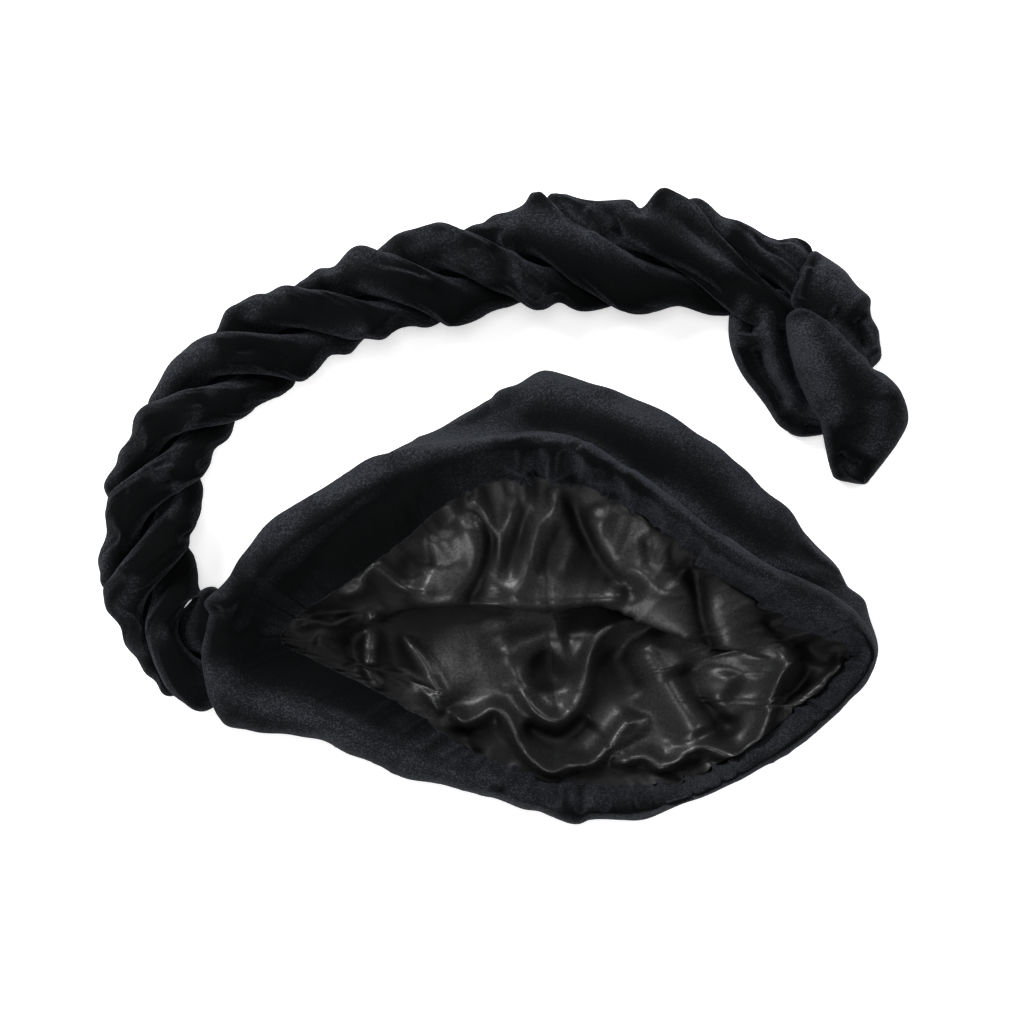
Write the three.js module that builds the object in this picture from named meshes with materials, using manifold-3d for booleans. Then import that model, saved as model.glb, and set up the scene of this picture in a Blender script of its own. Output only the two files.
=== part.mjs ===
// Velvet turban cap with a twisted three-strand braid, lying mouth up on a table.
// Millimetres, +Z up. The cap is worked out round the middle of its mouth and the braid from
// the cap's left corner. At the end the whole is centred over its own footprint.
import * as THREE from 'three';
import Module from 'manifold-3d';

const wasm = await Module();
wasm.setup();

// Cap
const capWidth = 267; // corner to corner across the mouth
const capDepth = 155; // front hem to rear hem across the mouth
const capHeight = 62; // table to the top of the rear hem
const crownSwell = 28; // how far the crown stands out behind the rear hem
const hemRoll = 9; // thickness of the soft rolled hem
const facingDrop = 13; // how far the facing's sewn edge lies below the hem
const frontTuck = 9; // how far the cloth rolls under before it meets the table in front
const rearTuck = 24; // the same behind, under the swelling crown
const velvetWall = 1.6;

// Lining
const satinWall = 1;
const seamGap = 0.3; // between pieces that touch
const floorLift = 3.5; // satin above the velvet that lies on the table
const pleatHeight = 2.2; // small gathers where the satin is sewn on
const pleatCount = 16;

// Braid
const braidSpan = 234; // joint to wrapped end, left to right
const braidRise = 159; // joint to the highest part of the arc
const braidWidth = 41;
const braidThickness = 28;
const braidPitch = 102; // one whole turn of a strand where the braid is tight
const loosePitch = 165; // the same where it has loosened
const tightLength = 296; // braid length before it loosens
const strandRound = 0.53; // strand radius as a share of half the braid
const strandReach = 0.47; // strand middle from the braid's middle, the same share

// Tails and wrap
const longTailLength = 76;
const longTailWidth = 37;
const shortTailLength = 56;
const shortTailWidth = 25;
const tailThickness = 15;
const wrapLength = 60;
const wrapWidth = 19;
const wrapThickness = 21;
const padRound = 0.58; // how round a pad's section is, from half its thickness up

// Mesh steps
const roundSteps = 64;
const braidSteps = 46;

// The mouth, anticlockwise from the right corner. hemX, hemY and sewnX, sewnY are shares of half
// the cap's width and depth: the outer edge of the hem and the line where the satin is sewn on.
// rise is a share of capHeight and swell a share of crownSwell.
const mouthRows = [
  { hemX: 1.0, hemY: -0.11, sewnX: 0.93, sewnY: -0.13, rise: 0.5, swell: 0.05 },
  { hemX: 0.87, hemY: 0.17, sewnX: 0.75, sewnY: 0.03, rise: 0.66, swell: 0.3 },
  { hemX: 0.6, hemY: 0.39, sewnX: 0.53, sewnY: 0.26, rise: 0.82, swell: 0.86 },
  { hemX: 0.36, hemY: 0.7, sewnX: 0.32, sewnY: 0.55, rise: 0.94, swell: 1.0 },
  { hemX: 0.1, hemY: 0.97, sewnX: 0.08, sewnY: 0.74, rise: 1.0, swell: 0.92 },
  { hemX: -0.2, hemY: 0.98, sewnX: -0.18, sewnY: 0.72, rise: 1.0, swell: 0.36 },
  { hemX: -0.49, hemY: 0.87, sewnX: -0.39, sewnY: 0.46, rise: 0.94, swell: 0.0 },
  { hemX: -0.76, hemY: 0.62, sewnX: -0.57, sewnY: 0.23, rise: 0.8, swell: 0.0 },
  { hemX: -0.93, hemY: 0.29, sewnX: -0.72, sewnY: 0.06, rise: 0.64, swell: 0.0 },
  { hemX: -1.0, hemY: -0.14, sewnX: -0.77, sewnY: -0.07, rise: 0.54, swell: 0.0 },
  { hemX: -0.93, hemY: -0.49, sewnX: -0.67, sewnY: -0.17, rise: 0.47, swell: 0.0 },
  { hemX: -0.63, hemY: -0.61, sewnX: -0.42, sewnY: -0.39, rise: 0.44, swell: 0.0 },
  { hemX: -0.28, hemY: -0.81, sewnX: -0.18, sewnY: -0.66, rise: 0.42, swell: 0.0 },
  { hemX: 0.08, hemY: -1.0, sewnX: 0.08, sewnY: -0.8, rise: 0.41, swell: 0.0 },
  { hemX: 0.46, hemY: -0.9, sewnX: 0.44, sewnY: -0.78, rise: 0.42, swell: 0.0 },
  { hemX: 0.85, hemY: -0.52, sewnX: 0.77, sewnY: -0.42, rise: 0.46, swell: 0.0 },
];

// How the satin falls, at the same places as mouthRows. Each turn is given as a share of the way
// from the sewn edge to the middle of the floor, and its height as a share of the edge's height.
// Where turnIn comes before lipIn, the satin hangs as a lip and tucks back under itself.
const satinRows = [
  { lipIn: 0.22, lipRise: 0.62, turnIn: 0.34, turnRise: 0.34 },
  { lipIn: 0.34, lipRise: 0.56, turnIn: 0.3, turnRise: 0.3 },
  { lipIn: 0.42, lipRise: 0.52, turnIn: 0.3, turnRise: 0.27 },
  { lipIn: 0.46, lipRise: 0.5, turnIn: 0.3, turnRise: 0.25 },
  { lipIn: 0.55, lipRise: 0.48, turnIn: 0.36, turnRise: 0.22 },
  { lipIn: 0.53, lipRise: 0.48, turnIn: 0.35, turnRise: 0.22 },
  { lipIn: 0.38, lipRise: 0.52, turnIn: 0.28, turnRise: 0.27 },
  { lipIn: 0.3, lipRise: 0.55, turnIn: 0.32, turnRise: 0.3 },
  { lipIn: 0.26, lipRise: 0.58, turnIn: 0.38, turnRise: 0.34 },
  { lipIn: 0.22, lipRise: 0.6, turnIn: 0.38, turnRise: 0.36 },
  { lipIn: 0.22, lipRise: 0.6, turnIn: 0.36, turnRise: 0.36 },
  { lipIn: 0.22, lipRise: 0.55, turnIn: 0.36, turnRise: 0.34 },
  { lipIn: 0.2, lipRise: 0.52, turnIn: 0.36, turnRise: 0.32 },
  { lipIn: 0.2, lipRise: 0.52, turnIn: 0.36, turnRise: 0.32 },
  { lipIn: 0.2, lipRise: 0.52, turnIn: 0.36, turnRise: 0.32 },
  { lipIn: 0.2, lipRise: 0.56, turnIn: 0.34, turnRise: 0.34 },
];
const satinMiddle = { x: 0.05, y: -0.36 }; // of half the width and depth

// Long ridges of slack satin: place round the mouth and along the fall (0 sewn edge, 1 middle),
// with a spread in each direction and a height in shares of ridgeHeight.
const ridgeHeight = 6;
const ridgeRows = [
  { round: 0.155, fall: 0.24, wide: 0.026, long: 0.16, height: 0.7 },
  { round: 0.235, fall: 0.24, wide: 0.026, long: 0.16, height: 0.8 },
  { round: 0.32, fall: 0.24, wide: 0.026, long: 0.16, height: 0.9 },
  { round: 0.7, fall: 0.72, wide: 0.03, long: 0.22, height: 0.9 },
  { round: 0.79, fall: 0.66, wide: 0.03, long: 0.2, height: 1.0 },
  { round: 0.87, fall: 0.62, wide: 0.03, long: 0.2, height: 0.9 },
  { round: 0.95, fall: 0.6, wide: 0.03, long: 0.2, height: 0.8 },
];

// The braid's route from the cap's left corner: east is a share of braidSpan, north of braidRise,
// wide and thick of the braid's own width and thickness.
const braidRows = [
  { east: 0.035, north: -0.014, wide: 0.96, thick: 0.95 },
  { east: -0.014, north: -0.01, wide: 0.92, thick: 1.0 },
  { east: -0.062, north: 0.01, wide: 0.88, thick: 1.0 },
  { east: -0.096, north: 0.062, wide: 0.88, thick: 1.0 },
  { east: -0.105, north: 0.14, wide: 0.94, thick: 1.0 },
  { east: -0.104, north: 0.235, wide: 1.0, thick: 1.0 },
  { east: -0.1, north: 0.36, wide: 1.0, thick: 1.0 },
  { east: -0.076, north: 0.49, wide: 1.0, thick: 1.0 },
  { east: -0.024, north: 0.62, wide: 1.0, thick: 1.0 },
  { east: 0.066, north: 0.74, wide: 1.0, thick: 1.0 },
  { east: 0.185, north: 0.842, wide: 1.0, thick: 1.0 },
  { east: 0.32, north: 0.918, wide: 1.0, thick: 1.0 },
  { east: 0.46, north: 0.97, wide: 1.02, thick: 1.0 },
  { east: 0.6, north: 1.0, wide: 1.16, thick: 1.0 },
  { east: 0.74, north: 1.0, wide: 1.16, thick: 0.95 },
  { east: 0.87, north: 0.975, wide: 1.12, thick: 0.85 },
  { east: 0.985, north: 0.92, wide: 0.85, thick: 0.75 },
];

// Tails and wrap as flat-bottomed pads. Each route runs from the braid's end: ahead and aside are
// shares of the pad's length, wide and thick of its width and thickness.
const longTailRows = [
  { ahead: -0.06, aside: 0.0, wide: 0.34, thick: 0.9, lift: 0.2 },
  { ahead: 0.1, aside: 0.06, wide: 0.66, thick: 1.2, lift: 0.2 },
  { ahead: 0.3, aside: 0.16, wide: 0.88, thick: 1.25, lift: 0.1 },
  { ahead: 0.52, aside: 0.32, wide: 1.0, thick: 1.1, lift: 0.0 },
  { ahead: 0.72, aside: 0.42, wide: 0.98, thick: 0.95, lift: 0.0 },
  { ahead: 0.9, aside: 0.42, wide: 0.7, thick: 0.8, lift: 0.0 },
  { ahead: 1.02, aside: 0.38, wide: 0.26, thick: 0.5, lift: 0.0 },
];
const shortTailRows = [
  { ahead: -0.05, aside: -0.26, wide: 0.6, thick: 0.7, lift: 0.0 },
  { ahead: 0.2, aside: -0.27, wide: 0.95, thick: 0.9, lift: 0.0 },
  { ahead: 0.45, aside: -0.14, wide: 1.1, thick: 1.0, lift: 0.0 },
  { ahead: 0.7, aside: 0.04, wide: 1.15, thick: 0.95, lift: 0.0 },
  { ahead: 0.94, aside: 0.2, wide: 0.9, thick: 0.8, lift: 0.0 },
  { ahead: 1.04, aside: 0.26, wide: 0.4, thick: 0.5, lift: 0.0 },
];
const wrapRows = [
  { ahead: -0.28, aside: -0.2, wide: 0.5, thick: 0.7, lift: 0.0 },
  { ahead: -0.25, aside: 0.04, wide: 0.9, thick: 0.95, lift: 0.0 },
  { ahead: -0.08, aside: 0.3, wide: 1.0, thick: 1.0, lift: 0.0 },
  { ahead: 0.16, aside: 0.46, wide: 1.0, thick: 1.0, lift: 0.0 },
  { ahead: 0.42, aside: 0.54, wide: 0.8, thick: 0.8, lift: 0.0 },
  { ahead: 0.52, aside: 0.55, wide: 0.35, thick: 0.45, lift: 0.0 },
];

// A smooth cubic through the rows of a table, read at a place that may fall between rows.
function readRow(rows, column, place, closed) {
  const last = rows.length - 1;
  const start = closed ? Math.floor(place) : Math.min(Math.floor(place), last - 1);
  const t = place - start;
  const pick = (i) => (closed
    ? rows[((i % rows.length) + rows.length) % rows.length][column]
    : rows[Math.min(Math.max(i, 0), last)][column]);
  const a = pick(start - 1);
  const b = pick(start);
  const c = pick(start + 1);
  const d = pick(start + 2);
  return 0.5 * (2 * b + (c - a) * t + (2 * a - 5 * b + 4 * c - d) * t * t
    + (3 * b - a - 3 * c + d) * t * t * t);
}

// The same cubic through a few points in space, with each leg cut into its own number of steps.
function smoothPoints(points, legSteps) {
  const out = [];
  for (let leg = 0; leg < legSteps.length; leg += 1) {
    for (let step = 0; step < legSteps[leg]; step += 1) {
      const place = leg + step / legSteps[leg];
      out.push(new THREE.Vector3(
        readRow(points, 'x', place, false),
        readRow(points, 'y', place, false),
        readRow(points, 'z', place, false),
      ));
    }
  }
  out.push(points[points.length - 1].clone());
  return out;
}

// One closed skin: a first point, rings of equal count, and a last point. From the corner
// mirrorFrom on, the four-sided faces are split the other way, so that the two flat sides of a
// strand match its neighbours' sides.
function closedSkin(first, rings, last, mirrorFrom = Infinity) {
  const count = rings[0].length;
  const positions = [first, ...rings.flat(), last].flatMap((p) => [p.x, p.y, p.z]);
  const index = [];
  const vertex = (ring, j) => 1 + ring * count + (j % count);
  const end = 1 + rings.length * count;
  for (let j = 0; j < count; j += 1) {
    index.push(0, vertex(0, j), vertex(0, j + 1));
    for (let ring = 0; ring < rings.length - 1; ring += 1) {
      const [a, b] = [vertex(ring, j), vertex(ring, j + 1)];
      const [c, d] = [vertex(ring + 1, j), vertex(ring + 1, j + 1)];
      if (j < mirrorFrom) index.push(a, c, d, a, d, b);
      else index.push(a, c, b, b, c, d);
    }
    index.push(end, vertex(rings.length - 1, j + 1), vertex(rings.length - 1, j));
  }
  return { positions, index };
}

// Six times the volume, to see which way the faces look.
function signedVolume({ positions, index }) {
  const point = (i) => new THREE.Vector3().fromArray(positions, index[i] * 3);
  let sum = 0;
  for (let i = 0; i < index.length; i += 3) {
    sum += point(i).dot(point(i + 1).cross(point(i + 2)));
  }
  return sum;
}

function toSolid(skin) {
  const index = [...skin.index];
  if (signedVolume(skin) < 0) {
    for (let i = 0; i < index.length; i += 3) {
      [index[i], index[i + 1]] = [index[i + 1], index[i]];
    }
  }
  return new wasm.Manifold(new wasm.Mesh({
    numProp: 3,
    vertProperties: new Float32Array(skin.positions),
    triVerts: new Uint32Array(index),
  }));
}

function toMesh(name, solid, material) {
  const made = solid.getMesh();
  const geometry = new THREE.BufferGeometry();
  geometry.setAttribute('position', new THREE.BufferAttribute(new Float32Array(made.vertProperties), 3));
  geometry.setIndex(new THREE.BufferAttribute(new Uint32Array(made.triVerts), 1));
  geometry.computeVertexNormals();
  const mesh = new THREE.Mesh(geometry, material);
  mesh.name = name;
  return mesh;
}

// Moves each point of a sheet along the sheet's own normal. rings run from the sheet's edge to its
// middle, and a positive distance is towards the side from which the rings run anticlockwise.
function offsetRings(rings, middle, distance) {
  return rings.map((ring, i) => ring.map((point, j) => {
    const count = ring.length;
    const around = ring[(j + 1) % count].clone().sub(ring[(j + count - 1) % count]);
    const before = i > 0 ? rings[i - 1][j] : ring[j];
    const after = i < rings.length - 1 ? rings[i + 1][j] : middle;
    const inward = after.clone().sub(before);
    const normal = around.cross(inward).normalize();
    return point.clone().addScaledVector(normal, distance);
  }));
}

// Cap velvet: for each place round the mouth, points run from the sewn edge of the facing over the
// rolled hem, down the outside and under to the table.
function hemFrame(round) {
  const place = round * mouthRows.length;
  const at = (column, where) => readRow(mouthRows, column, where, true);
  const half = { x: capWidth / 2, y: capDepth / 2 };
  const hem = new THREE.Vector2(at('hemX', place) * half.x, at('hemY', place) * half.y);
  const sewn = new THREE.Vector2(at('sewnX', place) * half.x, at('sewnY', place) * half.y);
  const reach = 0.25;
  const ahead = new THREE.Vector2(at('hemX', place + reach) * half.x, at('hemY', place + reach) * half.y);
  const behind = new THREE.Vector2(at('hemX', place - reach) * half.x, at('hemY', place - reach) * half.y);
  const out = ahead.sub(behind).normalize().rotateAround(new THREE.Vector2(), -Math.PI / 2);
  const swellShare = Math.max(at('swell', place), 0);
  return { hem, sewn, out, top: at('rise', place) * capHeight, swellShare };
}

function velvetColumn(round) {
  const { hem, sewn, out, top, swellShare } = hemFrame(round);
  const swell = swellShare * crownSwell;
  const tuck = frontTuck + (rearTuck - frontTuck) * swellShare;
  const point = (flat, outward, z) => new THREE.Vector3(
    flat.x + out.x * outward,
    flat.y + out.y * outward,
    z,
  );
  const nearHem = sewn.clone().lerp(hem, 0.5);
  const rollTop = sewn.clone().lerp(hem, 0.82);
  return smoothPoints([
    point(sewn, 0, top - facingDrop),
    point(nearHem, 0, top - facingDrop * 0.36),
    point(rollTop, 0, top),
    point(hem, 0, top - hemRoll * 0.45),
    point(hem, -hemRoll * 0.12 + swell * 0.2, top - hemRoll),
    point(hem, swell * 0.8, top * 0.78 - hemRoll * 0.4),
    point(hem, swell, top * 0.5),
    point(hem, swell - tuck * 0.35, top * 0.16),
    point(hem, swell - tuck, 0),
  ], [1, 2, 2, 1, 1, 2, 2, 2]);
}

const floorRings = [0.45, 0.8]; // shares of the way in to the middle of the velvet's floor

function velvetSheet() {
  const columns = [];
  for (let j = 0; j < roundSteps; j += 1) {
    const column = velvetColumn(j / roundSteps);
    const foot = column[column.length - 1];
    floorRings.forEach((share) => column.push(new THREE.Vector3(
      foot.x * (1 - share),
      foot.y * (1 - share),
      0,
    )));
    columns.push(column);
  }
  const rings = columns[0].map((unused, i) => columns.map((column) => column[i]));
  return { rings, middle: new THREE.Vector3(0, 0, 0) };
}

function makeCapShell() {
  const { rings, middle } = velvetSheet();
  const inner = offsetRings(rings, middle, velvetWall);
  inner.slice(-floorRings.length).flat().forEach((point) => {
    point.z = velvetWall;
  });
  const innerMiddle = new THREE.Vector3(middle.x, middle.y, velvetWall);
  return toSolid(closedSkin(middle, [...rings.toReversed(), ...inner], innerMiddle));
}

// The cap's outside, a gap larger and closed over the mouth, which the braid is trimmed to.
function capBlank() {
  const { rings, middle } = velvetSheet();
  const outer = offsetRings(rings, middle, -seamGap);
  const lid = new THREE.Vector3(0, 0, capHeight * 0.6);
  return toSolid(closedSkin(lid, outer, new THREE.Vector3(0, 0, -seamGap)));
}

// Lining satin: each column starts a gap inside the facing's edge, in line with the facing, and
// falls by its lip and turn to the middle of the floor.
function satinColumn(round) {
  const velvet = velvetColumn(round);
  const place = round * satinRows.length;
  const at = (column) => readRow(satinRows, column, place, true);
  const edge = velvet[0].clone();
  const along = edge.clone().sub(velvet[1]).normalize();
  const start = edge.clone().addScaledVector(along, seamGap);
  const floor = velvetWall + floorLift;
  const middle = new THREE.Vector3(satinMiddle.x * capWidth / 2, satinMiddle.y * capDepth / 2, floor);
  const between = (share, z) => new THREE.Vector3(
    start.x + (middle.x - start.x) * share,
    start.y + (middle.y - start.y) * share,
    z,
  );
  const lift = start.z - floor;
  return smoothPoints([
    start,
    between(at('lipIn') * 0.45, floor + lift * (0.45 + 0.55 * at('lipRise'))),
    between(at('lipIn'), floor + lift * at('lipRise')),
    between(at('turnIn'), floor + lift * at('turnRise') * 0.6),
    between((at('turnIn') + 1) * 0.5, floor),
    between(0.85, floor),
  ], [2, 2, 3, 2, 1]);
}

// Height added to the satin at one place: soft ridges, and small gathers that fade from the seam.
function satinRelief(round, fall) {
  let height = 0;
  ridgeRows.forEach((ridge) => {
    const turn = Math.abs(round - ridge.round);
    const across = Math.min(turn, 1 - turn) / ridge.wide;
    const down = (fall - ridge.fall) / ridge.long;
    height += ridgeHeight * ridge.height * Math.exp(-across * across - down * down);
  });
  const gather = 0.5 - 0.5 * Math.cos(2 * Math.PI * pleatCount * round);
  const fromEnds = Math.min(fall * 6, (1 - fall) * 4, 1);
  return (height + pleatHeight * gather * Math.exp(-fall * 6)) * fromEnds;
}

function makeCapLining() {
  const columns = [];
  for (let j = 0; j < roundSteps; j += 1) {
    columns.push(satinColumn(j / roundSteps));
  }
  const plain = columns[0].map((unused, i) => columns.map((column) => column[i]));
  const floor = velvetWall + floorLift;
  const middle = new THREE.Vector3(satinMiddle.x * capWidth / 2, satinMiddle.y * capDepth / 2, floor);
  const raised = offsetRings(plain, middle, 1);
  const face = plain.map((ring, i) => ring.map((point, j) => point.clone().lerp(
    raised[i][j],
    satinRelief(j / roundSteps, i / plain.length),
  )));
  const back = offsetRings(face, middle, -satinWall);
  // The sewn end stands square to the facing's own end.
  const { rings, middle: underMouth } = velvetSheet();
  const facingBack = offsetRings(rings.slice(0, 2), underMouth, satinWall)[0];
  back[0] = face[0].map((point, j) => point.clone().add(facingBack[j]).sub(rings[0][j]));
  const backMiddle = middle.clone().setZ(floor - satinWall);
  return toSolid(closedSkin(middle, [...face.toReversed(), ...back], backMiddle));
}

// The braid's line: points, headings and section sizes at even steps from the cap to the end.
function braidLine() {
  const corner = new THREE.Vector2(-capWidth / 2, -0.14 * capDepth / 2);
  const finePerRow = 30;
  const headingReach = 20;
  const fine = finePerRow * (braidRows.length - 1);
  const points = [];
  for (let i = 0; i <= fine; i += 1) {
    const place = i / finePerRow;
    const at = (column) => readRow(braidRows, column, place, false);
    points.push({
      x: corner.x + at('east') * braidSpan,
      y: corner.y + at('north') * braidRise,
      wide: at('wide') * braidWidth / 2,
      thick: at('thick') * braidThickness / 2,
    });
  }
  const lengths = [0];
  for (let i = 1; i <= fine; i += 1) {
    lengths.push(lengths[i - 1] + Math.hypot(points[i].x - points[i - 1].x, points[i].y - points[i - 1].y));
  }
  const total = lengths[fine];
  const read = (length) => {
    let i = 1;
    while (i < fine && lengths[i] < length) i += 1;
    const share = (length - lengths[i - 1]) / (lengths[i] - lengths[i - 1]);
    const a = points[i - 1];
    const b = points[i];
    const mix = (column) => a[column] + (b[column] - a[column]) * share;
    // The heading is taken over a stretch, so that sections fan out evenly round the tight bend.
    const behind = points[Math.max(i - headingReach, 0)];
    const ahead = points[Math.min(i + headingReach, fine)];
    const heading = new THREE.Vector2(ahead.x - behind.x, ahead.y - behind.y).normalize();
    return { x: mix('x'), y: mix('y'), wide: mix('wide'), thick: mix('thick'), heading };
  };
  const turns = (length) => Math.min(length, tightLength) / braidPitch
    + Math.max(length - tightLength, 0) / loosePitch;
  return { total, read, turns };
}

// A point beside the braid's line: left and up are shares of the half width and half thickness.
function besideLine(spot, left, up, margin) {
  return new THREE.Vector3(
    spot.x - spot.heading.y * left * (spot.wide + margin),
    spot.y + spot.heading.x * left * (spot.wide + margin),
    Math.max(spot.thick + up * (spot.thick + margin), 0),
  );
}

// One strand's section, filling its third of the braid: two flat sides, where it presses on its
// neighbours, and a round back. Corners are shares of the braid's half size.
function strandSection(halfWidth) {
  const gapShare = seamGap / halfWidth;
  const third = Math.PI / 3;
  const flatSide = [0.12, 0.33, 0.54];
  const corners = [];
  const side = (radius, sign) => {
    const along = new THREE.Vector2(Math.cos(third), sign * Math.sin(third)).multiplyScalar(radius);
    const away = new THREE.Vector2(Math.sin(third), -sign * Math.cos(third)).multiplyScalar(gapShare);
    return along.add(away);
  };
  flatSide.forEach((radius) => corners.push(side(radius, -1)));
  const backSteps = 7;
  const backSpread = 1.76;
  for (let i = 0; i <= backSteps; i += 1) {
    const angle = -backSpread + (2 * backSpread * i) / backSteps;
    corners.push(new THREE.Vector2(
      strandReach + strandRound * Math.cos(angle),
      strandRound * Math.sin(angle),
    ));
  }
  flatSide.toReversed().forEach((radius) => corners.push(side(radius, 1)));
  return corners;
}

function strandSkin(line, which) {
  const rings = [];
  const middles = [];
  for (let i = 0; i <= braidSteps; i += 1) {
    const length = (line.total * i) / braidSteps;
    const spot = line.read(length);
    const angle = 2 * Math.PI * (line.turns(length) + which / 3);
    const turned = (corner) => corner.clone().rotateAround(new THREE.Vector2(), angle);
    rings.push(strandSection(spot.wide).map((corner) => {
      const share = turned(corner);
      return besideLine(spot, share.x, share.y, 0);
    }));
    const heart = turned(new THREE.Vector2(strandReach, 0));
    middles.push(besideLine(spot, heart.x, heart.y, 0));
  }
  return closedSkin(middles[0], rings, middles[middles.length - 1], rings[0].length / 2);
}

// The braid as one smooth bar, a gap larger than its strands, which the tails are trimmed to.
function braidBlank(line) {
  const rings = [];
  const sides = 24;
  const room = 1.8 * seamGap;
  const from = Math.round(braidSteps * 0.6);
  for (let i = from; i <= braidSteps; i += 1) {
    const spot = line.read((line.total * i) / braidSteps);
    const ring = [];
    for (let j = 0; j < sides; j += 1) {
      const angle = (2 * Math.PI * j) / sides;
      const point = besideLine(spot, Math.cos(angle), Math.sin(angle), room);
      if (i === braidSteps) point.addScaledVector(new THREE.Vector3(spot.heading.x, spot.heading.y, 0), room);
      ring.push(point);
    }
    rings.push(ring);
  }
  const middle = (ring) => ring.reduce((sum, p) => sum.add(p), new THREE.Vector3()).divideScalar(sides);
  return toSolid(closedSkin(middle(rings[0]), rings, middle(rings[rings.length - 1])));
}

// A soft pad along its rows: each section is a half round on a flat bottom. grow makes a larger
// copy, for trimming a neighbour.
function padSolid(rows, length, width, thickness, origin, grow) {
  const sides = 12;
  const steps = 2 * (rows.length - 1);
  const at = (column, place) => readRow(rows, column, place, false);
  const middle = (place) => new THREE.Vector2(
    origin.x + at('aside', place) * length,
    origin.y - at('ahead', place) * length,
  );
  const rings = [];
  for (let i = 0; i <= steps; i += 1) {
    const place = i / 2;
    const spot = middle(place);
    const heading = middle(Math.min(place + 0.2, rows.length - 1))
      .sub(middle(Math.max(place - 0.2, 0))).normalize();
    const half = at('wide', place) * width / 2 + grow;
    const high = at('thick', place) * thickness;
    const low = at('lift', place) * thickness;
    const along = (i === steps ? grow : 0) - (i === 0 ? grow : 0);
    const ring = [];
    for (let j = 0; j < sides; j += 1) {
      const angle = (2 * Math.PI * j) / sides;
      const left = Math.cos(angle) * half;
      const up = Math.sin(angle) * (padRound * high + grow);
      ring.push(new THREE.Vector3(
        spot.x + heading.x * along - heading.y * left,
        spot.y + heading.y * along + heading.x * left,
        Math.max(low + (1 - padRound) * high + up, 0),
      ));
    }
    rings.push(ring);
  }
  const centre = (ring) => ring.reduce((sum, p) => sum.add(p), new THREE.Vector3()).divideScalar(ring.length);
  return toSolid(closedSkin(centre(rings[0]), rings, centre(rings[rings.length - 1])));
}

const line = braidLine();
const braidEnd = line.read(line.total);
const braidBar = braidBlank(line);
const capOutside = capBlank();

const pad = (rows, length, width, thickness) => (grow) => (
  padSolid(rows, length, width, thickness, braidEnd, grow)
);
const shortTail = pad(shortTailRows, shortTailLength, shortTailWidth, tailThickness);
const longTail = pad(longTailRows, longTailLength, longTailWidth, tailThickness);
const endWrap = pad(wrapRows, wrapLength, wrapWidth, wrapThickness);

const velvet = new THREE.MeshStandardMaterial({ color: 0x0b0c10, roughness: 0.95, metalness: 0 });
const satin = new THREE.MeshStandardMaterial({ color: 0x0a0a0a, roughness: 0.35, metalness: 0 });

const cap = new THREE.Group();
cap.add(toMesh('cap_shell', makeCapShell(), velvet));
cap.add(toMesh('cap_lining', makeCapLining(), satin));

const braid = new THREE.Group();
['strand_one', 'strand_two', 'strand_three'].forEach((name, which) => {
  braid.add(toMesh(name, toSolid(strandSkin(line, which)).subtract(capOutside), velvet));
});
braid.add(toMesh('short_tail', shortTail(0).subtract(braidBar), velvet));
braid.add(toMesh('long_tail', longTail(0).subtract(braidBar).subtract(shortTail(seamGap)), velvet));
braid.add(toMesh('end_wrap', endWrap(0)
  .subtract(braidBar).subtract(longTail(seamGap)).subtract(shortTail(seamGap)), velvet));

const group = new THREE.Group();
group.add(cap, braid);

// Centres the whole over its footprint.
const box = new THREE.Box3().setFromObject(group);
const centre = box.getCenter(new THREE.Vector3());
group.position.set(-centre.x, -centre.y, 0);

export default group;
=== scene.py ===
import bpy
import math
import numpy as np
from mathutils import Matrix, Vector


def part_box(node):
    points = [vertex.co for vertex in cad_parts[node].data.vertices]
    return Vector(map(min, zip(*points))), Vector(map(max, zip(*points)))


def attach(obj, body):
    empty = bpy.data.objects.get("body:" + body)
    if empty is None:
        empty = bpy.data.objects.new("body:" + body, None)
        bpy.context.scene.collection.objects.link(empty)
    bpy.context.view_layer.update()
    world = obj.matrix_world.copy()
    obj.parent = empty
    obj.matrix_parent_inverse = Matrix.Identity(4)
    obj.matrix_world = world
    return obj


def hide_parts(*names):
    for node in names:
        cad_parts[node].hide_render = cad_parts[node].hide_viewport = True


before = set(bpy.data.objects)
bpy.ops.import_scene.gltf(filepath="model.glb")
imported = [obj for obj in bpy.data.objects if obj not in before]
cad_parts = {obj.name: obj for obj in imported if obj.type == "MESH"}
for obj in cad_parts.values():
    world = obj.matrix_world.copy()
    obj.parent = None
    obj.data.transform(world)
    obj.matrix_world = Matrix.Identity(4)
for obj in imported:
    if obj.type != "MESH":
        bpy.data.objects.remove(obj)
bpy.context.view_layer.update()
print("frame loaded")

# Lengths are millimetres round the middle of the cap's mouth until a mesh is made.
# Places read off the photograph are pixels of its 1024 x 1024 frame.
photo = {
    "mouthX": 539.0,      # pixel over the middle of the mouth
    "mouthY": 627.5,
    "mmPerPixel": 0.4,
    "middle": 512.0,      # middle of the picture
}
shellLow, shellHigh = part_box("cap_shell")


# Tables

def table(columns, rows):
    # one dictionary for each row, keyed by the names of the columns
    return [dict(zip(columns.split(), row)) for row in rows]


def fold(through, high, wide, **more):
    # a fold of the cloth: the photo pixels it runs through, its height in millimetres, its
    # width in pixels, and what foldHeight calls lee, spread, fade and crest
    return {"through": through, "high": high, "wide": wide, **more}


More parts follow.
